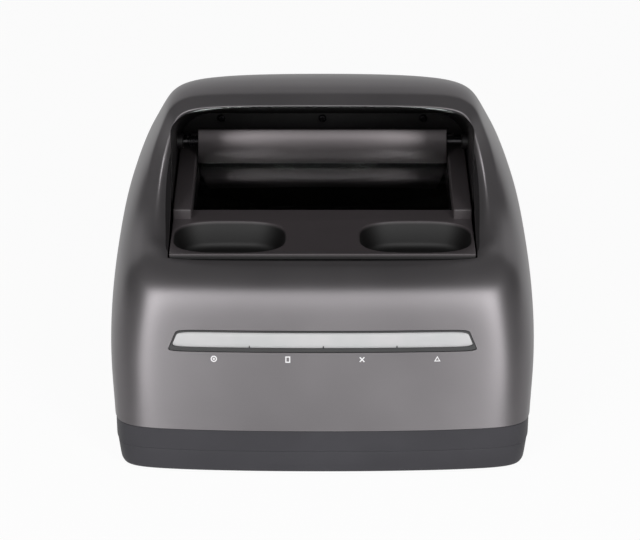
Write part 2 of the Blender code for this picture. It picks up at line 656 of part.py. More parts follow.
for corner, (foot_x, foot_y) in FOOT_PLACES.items():
    foot_top = FOOT_HEIGHT + FOOT_RECESS - SEAT_GAP
    foot_edge = FOOT_RADIUS / 10
    foot_profile = [(FOOT_RADIUS - foot_edge, 0), (FOOT_RADIUS, foot_edge), (FOOT_RADIUS, foot_top)]
    finish(turned("rubber_foot_" + corner, foot_profile, (foot_x, foot_y, 0)), *BLACK_RUBBER)

for corner, (screw_x, screw_y) in BASE_SCREW_PLACES.items():
    seat = FOOT_HEIGHT + COUNTERBORE_DEPTH - SEAT_GAP
    reach = PARTING + BOSS_BITE - seat
    finish(screw("base_screw_" + corner, (screw_x, screw_y, seat), (0, 0, 1), reach), *SCREW_STEEL)


# Document tray: a plate round the platen with side guides, a back stop and two finger scoops
SCOOP_SIDE_GAP = 0.0005
SCOOP_MIDDLE_GAP = 0.017
SCOOP_FRONT_GAP = 0.0015
SCOOP_BACK_GAP = 0.0081
SCOOP_DEPTH = 0.0125
SCOOP_WALL = 0.0012
SCOOP_TAPER = 0.0035
SCOOP_SIDES = 24
SCOOP_SQUARENESS = 3
APERTURE_SIDE = GLASS_SIDE + SEAT_GAP
SCOOP_HALF_WIDTH = (TRAY_SIDE - SCOOP_SIDE_GAP - SCOOP_MIDDLE_GAP) / 2
SCOOP_HALF_DEPTH = (TRAY_APRON - SCOOP_FRONT_GAP - SCOOP_BACK_GAP) / 2
SCOOP_MIDDLE_SIDE = TRAY_SIDE - SCOOP_SIDE_GAP - SCOOP_HALF_WIDTH
SCOOP_SETBACK = SCOOP_FRONT_GAP + SCOOP_HALF_DEPTH


def scoop_ring(sign, shrink, z):
    """Give one level of a scoop: an oval with squared shoulders."""
    ring = []
    for step in range(SCOOP_SIDES):
        angle = math.tau * step / SCOOP_SIDES
        c, s = math.cos(angle), math.sin(angle)
        across = math.copysign(abs(c) ** (2 / SCOOP_SQUARENESS), c) * (SCOOP_HALF_WIDTH - shrink)
        along = math.copysign(abs(s) ** (2 / SCOOP_SQUARENESS), s) * (SCOOP_HALF_DEPTH - shrink)
        ring.append((sign * SCOOP_MIDDLE_SIDE + across, TRAY_FRONT + SCOOP_SETBACK + along, z))
    return ring


def document_tray():
    tray = block("document_tray", (-TRAY_SIDE, TRAY_FRONT, TRAY_BOTTOM), (TRAY_SIDE, TRAY_BACK, TRAY_TOP))
    bottom = TRAY_TOP - SCOOP_DEPTH
    for sign in (1, -1):
        guide = block("guide_%d" % sign, (sign * (GUIDE_INSIDE + TRAY_SIDE) / 2 - GUIDE_WIDTH / 2,
                                          RIM - PLATEN_SETBACK, TRAY_BOTTOM + TRAY_THICKNESS / 2),
                      (sign * (GUIDE_INSIDE + TRAY_SIDE) / 2 + GUIDE_WIDTH / 2, PLATEN_BACK - GUIDE_HEIGHT,
                       TRAY_TOP + GUIDE_HEIGHT))
        outside = lofted("scoop_outside_%d" % sign, [
            scoop_ring(sign, SCOOP_TAPER - SCOOP_WALL, bottom - SCOOP_WALL),
            scoop_ring(sign, -SCOOP_WALL / 2, TRAY_BOTTOM + TRAY_THICKNESS / 3)])
        join(tray, outside, guide)
    join(tray, block("back_stop", (-GUIDE_INSIDE - GUIDE_WIDTH / 2, PLATEN_BACK + SEAT_GAP,
                                   TRAY_BOTTOM + TRAY_THICKNESS / 2),
                     (GUIDE_INSIDE + GUIDE_WIDTH / 2, TRAY_BACK, TRAY_TOP + GUIDE_HEIGHT * 3 / 4)))
    for sign in (1, -1):
        inside = lofted("scoop_inside_%d" % sign, [
            scoop_ring(sign, SCOOP_TAPER, bottom),
            scoop_ring(sign, SCOOP_TAPER / 3, bottom + SCOOP_DEPTH / 3),
            scoop_ring(sign, 0, TRAY_TOP + OVERRUN)])
        cut(tray, inside)
    cut(tray, block("platen_aperture", (-APERTURE_SIDE, PLATEN_FRONT - SEAT_GAP, TRAY_BOTTOM - OVERRUN),
                    (APERTURE_SIDE, PLATEN_BACK + SEAT_GAP, TRAY_TOP + OVERRUN)))
    return finish(tray, (0.10, 0.095, 0.10), 0.5)


document_tray()

finish(block("platen_glass", (-GLASS_SIDE, PLATEN_FRONT, GLASS_BOTTOM),
             (GLASS_SIDE, PLATEN_BACK, TRAY_TOP - SEAT_GAP / 3)), (0.85, 0.9, 0.9), 0.05)


def frame_ring(name, side, front, back, width, low, high):
    """Make a flat rectangular ring."""
    rings = []
    for inset, z in ((0, low), (0, high), (width, high), (width, low)):
        rings.append([(-side + inset, front + inset, z), (side - inset, front + inset, z),
                      (side - inset, back - inset, z), (-side + inset, back - inset, z)])
    return lofted(name, rings, closed=True)


finish(frame_ring("platen_gasket", GLASS_SIDE, PLATEN_FRONT, PLATEN_BACK, GASKET_WIDTH,
                  FLANGE_TOP + SEAT_GAP, GLASS_BOTTOM - SEAT_GAP), *BLACK_RUBBER)

ANTENNA_SIDE = HOUSING_OUTSIDE + SEAT_GAP + ANTENNA_WIDTH
ANTENNA_FRONT = PLATEN_FRONT - ANTENNA_WIDTH + GASKET_WIDTH
LAMINATE = ((0.02, 0.14, 0.07), 0.5)
finish(frame_ring("antenna_board", ANTENNA_SIDE, ANTENNA_FRONT, TRAY_BACK - SEAT_GAP,
                  TRAY_BACK - PLATEN_BACK - 3 * SEAT_GAP, FLANGE_TOP + SEAT_GAP,
                  FLANGE_TOP + SEAT_GAP + ANTENNA_THICKNESS), *LAMINATE)

# Optics housing: a dark box under the platen whose back wall leans at 45 degrees behind the mirror
MIRROR_THICKNESS = 0.002
MIRROR_END_GAP = 0.010
MIRROR_SIDE_GAP = 0.00635
WINDOW_HALF = 0.026
WINDOW_RISE = 0.020
SLOPE = math.sqrt(2)
HOUSING_BOTTOM = FLOOR_TOP + FLOOR_SCREW_POST + SEAT_GAP
HOUSING_FLOOR = HOUSING_BOTTOM + HOUSING_WALL
FLANGE_BOTTOM = FLANGE_TOP - FLANGE_THICKNESS
OPTICAL_AXIS = (HOUSING_FLOOR + FLANGE_BOTTOM) / 2
MIRROR_LENGTH = (FLANGE_BOTTOM - HOUSING_FLOOR - MIRROR_END_GAP * 2) * SLOPE
MIRROR_HALF = HOUSING_OUTSIDE - HOUSING_WALL - MIRROR_SIDE_GAP
MIRROR_SEAT_LINE = OPTICAL_AXIS - PLATEN_MIDDLE - (MIRROR_THICKNESS + SEAT_GAP) * SLOPE
HOUSING_BACK_LINE = MIRROR_SEAT_LINE - HOUSING_WALL * SLOPE
OPTICS_BLACK = ((0.015, 0.015, 0.016), 0.8)


def leaning_box(name, half, line, front, back, bottom, top):
    """Make a box without the corner that lies under the leaning plane z = y + line."""
    box = block(name, (-half, front, bottom), (half, back, top))
    low = bottom - OVERRUN
    high = max(top, back + line) + OVERRUN
    corner = [(low - line, low), (high - line, low), (high - line, high)]
    return cut(box, side_prism(name + "_slope", corner, half + OVERRUN))


def optics_housing():
    back = PLATEN_BACK
    housing = leaning_box("optics_housing", HOUSING_OUTSIDE, HOUSING_BACK_LINE, HOUSING_FRONT, back,
                          HOUSING_BOTTOM, FLANGE_TOP)
    hollow = leaning_box("housing_hollow", HOUSING_OUTSIDE - HOUSING_WALL, MIRROR_SEAT_LINE,
                         HOUSING_FRONT + HOUSING_WALL, back - HOUSING_WALL, HOUSING_FLOOR,
                         FLANGE_TOP + OVERRUN)
    window = block("housing_window", (-WINDOW_HALF, HOUSING_FRONT - OVERRUN, OPTICAL_AXIS - WINDOW_RISE),
                   (WINDOW_HALF, HOUSING_FRONT + HOUSING_WALL + OVERRUN, OPTICAL_AXIS + WINDOW_RISE))
    flange = block("housing_flange", (-ANTENNA_SIDE, ANTENNA_FRONT, FLANGE_BOTTOM),
                   (ANTENNA_SIDE, TRAY_BACK - SEAT_GAP, FLANGE_TOP))
    for sign in (1, -1):
        middle = sign * (HOUSING_OUTSIDE + HOUSING_EAR / 2 - HOUSING_WALL / 2)
        half = HOUSING_EAR / 2 + HOUSING_WALL / 2
        ear = block("housing_ear_%d" % sign, (middle - half, HOUSING_FRONT, HOUSING_BOTTOM),
                    (middle + half, HOUSING_FRONT + HOUSING_EAR_DEPTH, HOUSING_BOTTOM + HOUSING_WALL))
        join(housing, ear)
    join(housing, flange)
    cut(housing, hollow, window)
    for index, (x, y) in enumerate(HOUSING_SCREW_PLACES):
        cut(housing, rod("ear_hole_%d" % index, SMALL_HOLE, HOUSING_BOTTOM - SEAT_GAP / 2,
                         HOUSING_BOTTOM + OVERRUN, (x, y, 0), sides=POST_SIDES))
    return finish(housing, *OPTICS_BLACK)


optics_housing()


def leaning_block(name, low, high, colour, roughness, metallic=0.0):
    """Make a box that lies on the mirror plane: x across, y up the slope and z out of it."""
    piece = block(name, low, high)
    piece.rotation_euler = (math.pi / 4, 0, 0)
    piece.location = (0, PLATEN_MIDDLE, OPTICAL_AXIS)
    return finish(piece, colour, roughness, metallic)


leaning_block("fold_mirror", (-MIRROR_HALF, -MIRROR_LENGTH / 2, -MIRROR_THICKNESS),
              (MIRROR_HALF, MIRROR_LENGTH / 2, 0), (0.9, 0.9, 0.9), 0.03, 1.0)
CLIP_THICKNESS = 0.001
CLIP_OVERLAP = 0.002
CLIP_HALF_LENGTH = 0.008
CLIP_REACH = 0.0045
for side_name, sign in (("right", 1), ("left", -1)):
    edge = MIRROR_HALF - CLIP_OVERLAP
    end = MIRROR_HALF + CLIP_REACH
    foot = MIRROR_HALF + SEAT_GAP
    riser = foot + CLIP_THICKNESS
    low = -MIRROR_THICKNESS
    high = SEAT_GAP + CLIP_THICKNESS
    section = [(edge, SEAT_GAP), (foot, SEAT_GAP), (foot, low), (end, low),
               (end, low + CLIP_THICKNESS), (riser, low + CLIP_THICKNESS), (riser, high), (edge, high)]
    clip = lofted("mirror_clip_" + side_name, [[(sign * x, y, z) for x, z in section]
                                               for y in (-CLIP_HALF_LENGTH, CLIP_HALF_LENGTH)])
    clip.rotation_euler = (math.pi / 4, 0, 0)
    clip.location = (0, PLATEN_MIDDLE, OPTICAL_AXIS)
    finish(clip, (0.55, 0.55, 0.55), 0.4, 1.0)

# Side light boards on the housing's inner walls, each with a row of emitters
LIGHT_BOARD_THICKNESS = 0.0012
LIGHT_BOARD_HEIGHT = 0.012
LIGHT_BOARD_END_GAP = 0.002
EMITTER_SIZE = 0.003
EMITTER_DEPTH = 0.001
EMITTER_COUNT = 6
for side_name, sign in (("right", 1), ("left", -1)):
    wall = HOUSING_OUTSIDE - HOUSING_WALL - SEAT_GAP
    light_top = FLANGE_BOTTOM - SEAT_GAP
    light_low = light_top - LIGHT_BOARD_HEIGHT
    half_length = light_low - MIRROR_SEAT_LINE - LIGHT_BOARD_END_GAP - PLATEN_MIDDLE
    xs = sorted((sign * wall, sign * (wall - LIGHT_BOARD_THICKNESS)))
    board = block("light_board_" + side_name, (xs[0], PLATEN_MIDDLE - half_length, light_low),
                  (xs[1], PLATEN_MIDDLE + half_length, light_top))
    for index in range(EMITTER_COUNT):
        y = PLATEN_MIDDLE + half_length * 2 * ((index + 1 / 2) / EMITTER_COUNT - 1 / 2)
        z = (light_low + light_top) / 2
        near = sorted((sign * (wall - LIGHT_BOARD_THICKNESS / 2),
                       sign * (wall - LIGHT_BOARD_THICKNESS - EMITTER_DEPTH)))
        half = EMITTER_SIZE / 2
        join(board, block("emitter_%s_%d" % (side_name, index), (near[0], y - half, z - half),
                          (near[1], y + half, z + half)))
    finish(board, (0.8, 0.8, 0.78), 0.5)

# Camera: a bracket on the floor holds the board, and the barrel looks back at the mirror through a hood
CAMERA_BOARD_HALF = 0.016
BARREL_RADIUS = 0.007
BARREL_HOLDER_RADIUS = 0.009
BARREL_HOLDER_LENGTH = 0.006
BARREL_LENGTH = 0.014
HOOD_WALL = 0.0012
HOOD_PLAY = 0.0015
HOOD_LENS_HALF = BARREL_HOLDER_RADIUS + HOOD_PLAY
RIBBON_HALF = 0.006
RIBBON_THICKNESS = 0.0004
RIBBON_SLOT_HEIGHT = 0.003
BRACKET_BOTTOM = FLOOR_TOP + FLOOR_SCREW_POST + SEAT_GAP
BRACKET_TOP = OPTICAL_AXIS + CAMERA_BOARD_HALF

bracket = block("camera_bracket", (-BRACKET_HALF, CAMERA_PLANE, BRACKET_BOTTOM),
                (BRACKET_HALF, CAMERA_PLANE + BRACKET_THICKNESS, BRACKET_TOP))
join(bracket, block("bracket_foot", (-BRACKET_HALF, CAMERA_PLANE - BRACKET_FOOT, BRACKET_BOTTOM),
                    (BRACKET_HALF, CAMERA_PLANE + BRACKET_THICKNESS, BRACKET_BOTTOM + BRACKET_THICKNESS)))
cut(bracket, rod("bracket_window", BARREL_HOLDER_RADIUS + SEAT_GAP, CAMERA_PLANE - OVERRUN,
                 CAMERA_PLANE + OVERRUN, (0, 0, OPTICAL_AXIS), "Y"))
slot_low = BOARD_TOP + SEAT_GAP
cut(bracket, block("ribbon_slot", (-RIBBON_HALF - SEAT_GAP, CAMERA_PLANE - OVERRUN, slot_low),
                   (RIBBON_HALF + SEAT_GAP, CAMERA_PLANE + OVERRUN, slot_low + RIBBON_SLOT_HEIGHT)))
for index, (x, y) in enumerate(BRACKET_SCREW_PLACES):
    cut(bracket, rod("bracket_hole_%d" % index, SMALL_HOLE, BRACKET_BOTTOM - SEAT_GAP / 2,
                     BRACKET_BOTTOM + OVERRUN, (x, y, 0), sides=POST_SIDES))
finish(bracket, (0.55, 0.55, 0.56), 0.35, 1.0)

camera_back = CAMERA_PLANE - SEAT_GAP
camera_board = block("camera_board", (-CAMERA_BOARD_HALF, camera_back - BOARD_THICKNESS,
                                      OPTICAL_AXIS - CAMERA_BOARD_HALF),
                     (CAMERA_BOARD_HALF, camera_back, OPTICAL_AXIS + CAMERA_BOARD_HALF))
CHIP_HALF = 0.005
CHIP_HEIGHT = 0.0012
join(camera_board, block("camera_chip", (-CHIP_HALF, camera_back - BOARD_THICKNESS - CHIP_HEIGHT,
                                         OPTICAL_AXIS - CHIP_HALF),
                         (CHIP_HALF, camera_back - BOARD_THICKNESS / 2, OPTICAL_AXIS + CHIP_HALF)))
finish(camera_board, *LAMINATE)

finish(turned("lens_barrel", [(BARREL_HOLDER_RADIUS, 0), (BARREL_HOLDER_RADIUS, BARREL_HOLDER_LENGTH),
                              (BARREL_RADIUS, BARREL_HOLDER_LENGTH), (BARREL_RADIUS, BARREL_LENGTH),
                              (BARREL_RADIUS * 3 / 4, BARREL_LENGTH),
                              (BARREL_RADIUS / 2, BARREL_LENGTH - BARREL_RADIUS / 4)],
              (0, CAMERA_PLANE, OPTICAL_AXIS), "Y"), (0.02, 0.02, 0.02), 0.4)


def hood_ring(y, half_width, half_height):
    return [(-half_width, y, OPTICAL_AXIS - half_height), (half_width, y, OPTICAL_AXIS - half_height),
            (half_width, y, OPTICAL_AXIS + half_height), (-half_width, y, OPTICAL_AXIS + half_height)]


hood_front = CAMERA_PLANE + BRACKET_THICKNESS + SEAT_GAP
hood_back = HOUSING_FRONT - SEAT_GAP
finish(lofted("camera_hood", [
    hood_ring(hood_front, HOOD_LENS_HALF + HOOD_WALL, HOOD_LENS_HALF + HOOD_WALL),
    hood_ring(hood_back, WINDOW_HALF + HOOD_WALL, WINDOW_RISE + HOOD_WALL),
    hood_ring(hood_back, WINDOW_HALF, WINDOW_RISE),
    hood_ring(hood_front, HOOD_LENS_HALF, HOOD_LENS_HALF)], closed=True), *OPTICS_BLACK)


# Main board and the input and output board, flat on posts of the base
def chip(board, name, x, y, half_x, half_y, height):
    """Stand a component on a flat board."""
    return join(board, block(name, (x - half_x, y - half_y, BOARD_TOP - BOARD_THICKNESS / 2),
                             (x + half_x, y + half_y, BOARD_TOP + height)))


def board_holes(board, name, places):
    for index, (x, y) in enumerate(places):
        cut(board, rod("%s_hole_%d" % (name, index), SMALL_HOLE, BOARD_BOTTOM - OVERRUN / 2,
                       BOARD_TOP + OVERRUN, (x, y, 0), sides=POST_SIDES))


main_board = block("main_board", (-MAIN_BOARD_HALF, MAIN_BOARD_FRONT, BOARD_BOTTOM),
                   (MAIN_BOARD_HALF, MAIN_BOARD_BACK, BOARD_TOP))
MAIN_BOARD_MIDDLE = (MAIN_BOARD_FRONT + MAIN_BOARD_BACK) / 2
CONNECTOR_HALF = 0.008
CONNECTOR_DEPTH = 0.0025
CONNECTOR_HEIGHT = 0.002
PROCESSOR_HALF = CHIP_HALF * 3 / 2
chip(main_board, "processor", -CHIP_HALF * 4, MAIN_BOARD_MIDDLE, PROCESSOR_HALF, PROCESSOR_HALF,
     CHIP_HEIGHT * 2)
chip(main_board, "memory", CHIP_HALF * 4, MAIN_BOARD_MIDDLE, CHIP_HALF, CHIP_HALF, CHIP_HEIGHT)
SOCKET_Y = MAIN_BOARD_FRONT + CONNECTOR_DEPTH * 2
INDICATOR_SOCKET_X = 0.040
for socket_name, socket_x in (("ribbon_socket", 0), ("indicator_socket", INDICATOR_SOCKET_X)):
    chip(main_board, socket_name, socket_x, SOCKET_Y, CONNECTOR_HALF, CONNECTOR_DEPTH, CONNECTOR_HEIGHT)
board_holes(main_board, "main", MAIN_SCREW_PLACES)
finish(main_board, *LAMINATE)

io_board = block("io_board", (-IO_BOARD_HALF, IO_BOARD_FRONT, BOARD_BOTTOM),
                 (IO_BOARD_HALF, IO_BOARD_BACK, BOARD_TOP))
chip(io_board, "regulator", 0, IO_BOARD_FRONT + CHIP_HALF * 2, CHIP_HALF, CHIP_HALF, CHIP_HEIGHT * 2)
board_holes(io_board, "io", IO_SCREW_PLACES)
finish(io_board, *LAMINATE)

for label, places, seat_top in (
        ("main_board_screw", MAIN_SCREW_PLACES, BOARD_TOP),
        ("io_board_screw", IO_SCREW_PLACES, BOARD_TOP),
        ("bracket_screw", BRACKET_SCREW_PLACES, BRACKET_BOTTOM + BRACKET_THICKNESS),
        ("housing_screw", HOUSING_SCREW_PLACES, HOUSING_BOTTOM + HOUSING_WALL)):
    for index, (x, y) in enumerate(places):
        finish(small_screw("%s_%d" % (label, index + 1), (x, y, seat_top + SEAT_GAP), (0, 0, -1),
                           FLOOR_SCREW_LENGTH), *SCREW_STEEL)

# Rear connectors: a panel plate in the base's back wall, two sockets and a rocker switch
PANEL_THICKNESS = 0.0015
USB_HALF = 0.006
USB_DEPTH = 0.016
USB_X = -0.024
INLET_HALF = 0.0045
INLET_DEPTH = 0.013
INLET_X = -0.004
SWITCH_DEPTH = 0.012
SWITCH_FLANGE = 0.0012
SOCKET_WALL = 0.001
SOCKET_MARGIN = 0.00225
SWITCH_MARGIN = 0.0015
SWITCH_END_WALL = 0.0009
SWITCH_SIDE_WALL = 0.00025
ROCKER_PIVOT_DEPTH = 0.0022
ROCKER_PLAY = 0.0006
BAY_MIDDLE = (BAY_LOW + BAY_HIGH) / 2
USB_HEIGHT = BAY_HIGH - BAY_LOW - SOCKET_MARGIN * 2
INLET_HEIGHT = USB_HEIGHT
SWITCH_HEIGHT = BAY_HIGH - BAY_LOW - SWITCH_MARGIN * 2
SWITCH_NECK_HALF = SWITCH_HALF - SWITCH_FLANGE
SWITCH_NECK_HEIGHT = SWITCH_HEIGHT - SWITCH_FLANGE * 2
ROCKER_HALF = SWITCH_HALF - SWITCH_FLANGE - ROCKER_PLAY - SWITCH_END_WALL
ROCKER_RISE = SWITCH_HEIGHT / 2 - SWITCH_FLANGE - ROCKER_PLAY - SWITCH_SIDE_WALL


def base_back_wall(x, z):
    """Find how far back the base's outer wall stands at one width."""
    inset = BASE_CREASE_INSET
    best = min(inset_ring(PARTING_OUTER, inset, z), key=lambda place: abs(place.x - x) - place.y)
    return best.y


PANEL_FACE = base_back_wall(0, BAY_MIDDLE) - SHELL_WALL / 2
PANEL_BACK = PANEL_FACE - PANEL_THICKNESS


def connector_cutter(name, x, half, height, grow, front, back):
    """Make the box of a connector, grown on all sides, between two depths."""
    return block(name, (x - half - grow, front, BAY_MIDDLE - height / 2 - grow),
                 (x + half + grow, back, BAY_MIDDLE + height / 2 + grow))


rear_panel = block("rear_panel", (-CONNECTOR_BAY_HALF + SEAT_GAP, PANEL_BACK, BAY_LOW + SEAT_GAP),
                   (CONNECTOR_BAY_HALF - SEAT_GAP, PANEL_FACE, BAY_HIGH - SEAT_GAP))
for label, x, half, height in (
        ("usb", USB_X, USB_HALF, USB_HEIGHT),
        ("inlet", INLET_X, INLET_HALF, INLET_HEIGHT),
        ("switch", SWITCH_X, SWITCH_NECK_HALF, SWITCH_NECK_HEIGHT)):
    cut(rear_panel, connector_cutter("panel_hole_" + label, x, half, height, SEAT_GAP,
                                     PANEL_BACK - OVERRUN, PANEL_FACE + OVERRUN))
finish(rear_panel, (0.03, 0.03, 0.032), 0.5)

SOCKET_BACK = PANEL_FACE - SEAT_GAP
usb = connector_cutter("usb_socket", USB_X, USB_HALF, USB_HEIGHT, 0, SOCKET_BACK - USB_DEPTH, SOCKET_BACK)
cut(usb, connector_cutter("usb_mouth", USB_X, USB_HALF, USB_HEIGHT, -SOCKET_WALL,
                          SOCKET_BACK - USB_DEPTH * 2 / 3, SOCKET_BACK + OVERRUN))
finish(usb, (0.6, 0.6, 0.6), 0.35, 1.0)
inlet = connector_cutter("power_inlet", INLET_X, INLET_HALF, INLET_HEIGHT, 0,
                         SOCKET_BACK - INLET_DEPTH, SOCKET_BACK)
INLET_BORE = 0.0031
INLET_PIN = 0.0008
INLET_MOUTH = SOCKET_BACK - INLET_DEPTH * 3 / 4
bore = turned("inlet_bore", [(INLET_BORE, SOCKET_BACK + OVERRUN), (INLET_BORE, INLET_MOUTH),
                             (INLET_PIN, INLET_MOUTH), (INLET_PIN, SOCKET_BACK - SOCKET_WALL)],
              (INLET_X, 0, BAY_MIDDLE), "Y", 12)
cut(inlet, bore)
finish(inlet, (0.02, 0.02, 0.02), 0.5)

FLANGE_FACE = PANEL_FACE + SEAT_GAP + SWITCH_FLANGE
switch = connector_cutter("switch_body", SWITCH_X, SWITCH_NECK_HALF, SWITCH_NECK_HEIGHT, 0,
                          PANEL_FACE - SWITCH_DEPTH, FLANGE_FACE)
join(switch, connector_cutter("switch_flange", SWITCH_X, SWITCH_HALF, SWITCH_HEIGHT, 0,
                              PANEL_FACE + SEAT_GAP, FLANGE_FACE))
ROCKER_AXIS = PANEL_FACE - ROCKER_PIVOT_DEPTH
cut(switch, connector_cutter("switch_well", SWITCH_X, ROCKER_HALF, ROCKER_RISE * 2, ROCKER_PLAY,
                             PANEL_FACE - SWITCH_DEPTH / 2, PANEL_FACE + OVERRUN))
finish(switch, (0.015, 0.015, 0.015), 0.45)

rocker_section = [(-ROCKER_HALF, ROCKER_PIVOT_DEPTH * 3 / 2), (0, ROCKER_PIVOT_DEPTH),
                  (ROCKER_HALF, ROCKER_PIVOT_DEPTH * 3 / 2), (ROCKER_HALF * 5 / 6, 0),
                  (ROCKER_HALF / 4, -ROCKER_PIVOT_DEPTH), (-ROCKER_HALF / 4, -ROCKER_PIVOT_DEPTH),
                  (-ROCKER_HALF * 5 / 6, 0)]
rocker = lofted("power_rocker", [[(x, y, z) for x, y in rocker_section]
                                 for z in (-ROCKER_RISE, ROCKER_RISE)])
rocker.location = (SWITCH_X, ROCKER_AXIS, BAY_MIDDLE)
finish(rocker, (0.02, 0.02, 0.02), 0.35)


# Cavity liner: one black moulding with walls, ceiling and back, open in front and below
def ceiling(y):
    """Give the ceiling's height at a depth, falling evenly to the back."""
    share = (y - LINER_FRONT) / (LINER_BACK - LINER_FRONT)
    return ARCH_TOP - CEILING_FALL * share


# Flap hinge place, used by the liner's bearings
FLAP_FROM_RIM = 0.070
FLAP_PIVOT_HEIGHT = 0.0117
FLAP_ABOVE_PIVOT = 0.0068
FLAP_FLOOR_GAP = 0.0008
FLAP_THICKNESS = 0.002
FLAP_HALF = GUIDE_INSIDE - 2 * SEAT_GAP
FLAP_LEAN = 0.0012
SHAFT_RADIUS = 0.0015
SHAFT_PLAY = 0.0004
SHAFT_HOLE = SHAFT_RADIUS + SHAFT_PLAY
KNUCKLE_RADIUS = 0.003
KNUCKLE_LENGTH = 0.008
FLAP_Y = RIM + FLAP_FROM_RIM
PIVOT_Z = TRAY_TOP + FLAP_PIVOT_HEIGHT
BEARING_RADIUS = 0.004
BEARING_LENGTH = 0.003


def cavity_liner():
    low = LINER_BOTTOM
    back_outer = LINER_BACK + LINER_WALL
    liner = lofted("cavity_liner", [arch(LINER_FRONT, ceiling(LINER_FRONT), low, LINER_WALL),
                                    arch(back_outer, ceiling(back_outer), low, LINER_WALL)])
    start = LINER_FRONT - OVERRUN
    hollow = lofted("liner_hollow", [arch(start, ceiling(start), low - OVERRUN),
                                     arch(LINER_BACK, ceiling(LINER_BACK), low - OVERRUN)])
    cut(liner, hollow)
    for sign in (1, -1):
        outside = sign * (OPENING_SIDE + LINER_WALL / 2)
        inside = sign * (OPENING_SIDE - BEARING_LENGTH)
        blind = sign * (OPENING_SIDE + LINER_WALL / 4)
        axle = (0, FLAP_Y, PIVOT_Z)
        join(liner, rod("bearing_%d" % sign, BEARING_RADIUS, inside, outside, axle, "X"))
        cut(liner, rod("bearing_hole_%d" % sign, SHAFT_HOLE, inside - sign * OVERRUN, blind, axle, "X"))
    for index in (-1, 0, 1):
        cut(liner, rod("liner_hole_%d" % index, SMALL_HOLE, LINER_BACK - OVERRUN, back_outer + OVERRUN,
                       (index * LINER_SCREW_SPACING, 0, LINER_SCREW_Z), "Y", POST_SIDES))
    return finish(liner, (0.012, 0.011, 0.012), 0.6)


cavity_liner()
for index in (-1, 0, 1):
    screw_seat = (index * LINER_SCREW_SPACING, LINER_BACK - SEAT_GAP, LINER_SCREW_Z)
    finish(small_screw("liner_screw_%d" % (index + 2), screw_seat, (0, 1, 0), LINER_SCREW_BITE + LINER_WALL),
           *BLACK_STEEL)

# Hold-down flap: a thin glossy plate on a shaft, with two knuckles at its back
FLAP_BOW_STEPS = 6
flap_low = TRAY_TOP + FLAP_FLOOR_GAP - PIVOT_Z
flap_high = FLAP_ABOVE_PIVOT


def flap_face(height):
    """Give the plate's front face: a shallow curve that leans back towards its top."""
    share = (height - flap_low) / (flap_high - flap_low)
    return -SHAFT_HOLE - FLAP_THICKNESS + FLAP_LEAN * share * share


flap_heights = [flap_low + (flap_high - flap_low) * step / FLAP_BOW_STEPS
                for step in range(FLAP_BOW_STEPS + 1)]
flap_front = [(flap_face(height), height) for height in flap_heights]
flap_section = flap_front + [(y + FLAP_THICKNESS - FLAP_LEAN / 2, z) for y, z in reversed(flap_front)]
flap = side_prism("hold_down_flap", flap_section, FLAP_HALF)
for sign in (1, -1):
    middle = sign * (FLAP_HALF - KNUCKLE_LENGTH)
    join(flap, rod("knuckle_%d" % sign, KNUCKLE_RADIUS, -KNUCKLE_LENGTH / 2, KNUCKLE_LENGTH / 2,
                   (middle, 0, 0), "X"))
cut(flap, rod("flap_bore", SHAFT_HOLE, -FLAP_HALF - OVERRUN, FLAP_HALF + OVERRUN, (0, 0, 0), "X"))
flap.location = (0, FLAP_Y, PIVOT_Z)
for tool in [step.object for step in flap.modifiers]:
    tool.parent = flap
finish(flap, (0.16, 0.15, 0.15), 0.2)

shaft_half = OPENING_SIDE - SEAT_GAP
finish(rod("flap_shaft", SHAFT_RADIUS, -shaft_half, shaft_half, (0, FLAP_Y, PIVOT_Z), "X", 12),
       (0.6, 0.6, 0.6), 0.3, 1.0)

# Return spring: a coil round the shaft between the flap's plate and the left bearing
SPRING_WIRE = 0.0003
SPRING_PLAY = 0.0005
SPRING_RADIUS = SHAFT_RADIUS + SPRING_PLAY + SPRING_WIRE
SPRING_TURNS = 5
SPRING_POINTS = 10
SPRING_LENGTH = 0.0045
SPRING_START = FLAP_HALF + SEAT_GAP + SPRING_WIRE
spring_curve = bpy.data.curves.new("flap_spring", "CURVE")
spring_curve.dimensions = "3D"
spring_curve.bevel_depth = SPRING_WIRE
spring_curve.bevel_resolution = 1
spring_curve.use_fill_caps = True
spline = spring_curve.splines.new("POLY")
spline.points.add(SPRING_TURNS * SPRING_POINTS)
for index, point in enumerate(spline.points):
    share = index / (SPRING_TURNS * SPRING_POINTS)
    angle = math.tau * SPRING_TURNS * share
    point.co = (-SPRING_START - SPRING_LENGTH * share, FLAP_Y + SPRING_RADIUS * math.cos(angle),
                PIVOT_Z + SPRING_RADIUS * math.sin(angle), 1)
spring = bpy.data.objects.new("flap_spring", spring_curve)
bpy.context.scene.collection.objects.link(spring)
finish(spring, (0.6, 0.6, 0.6), 0.35, 1.0)

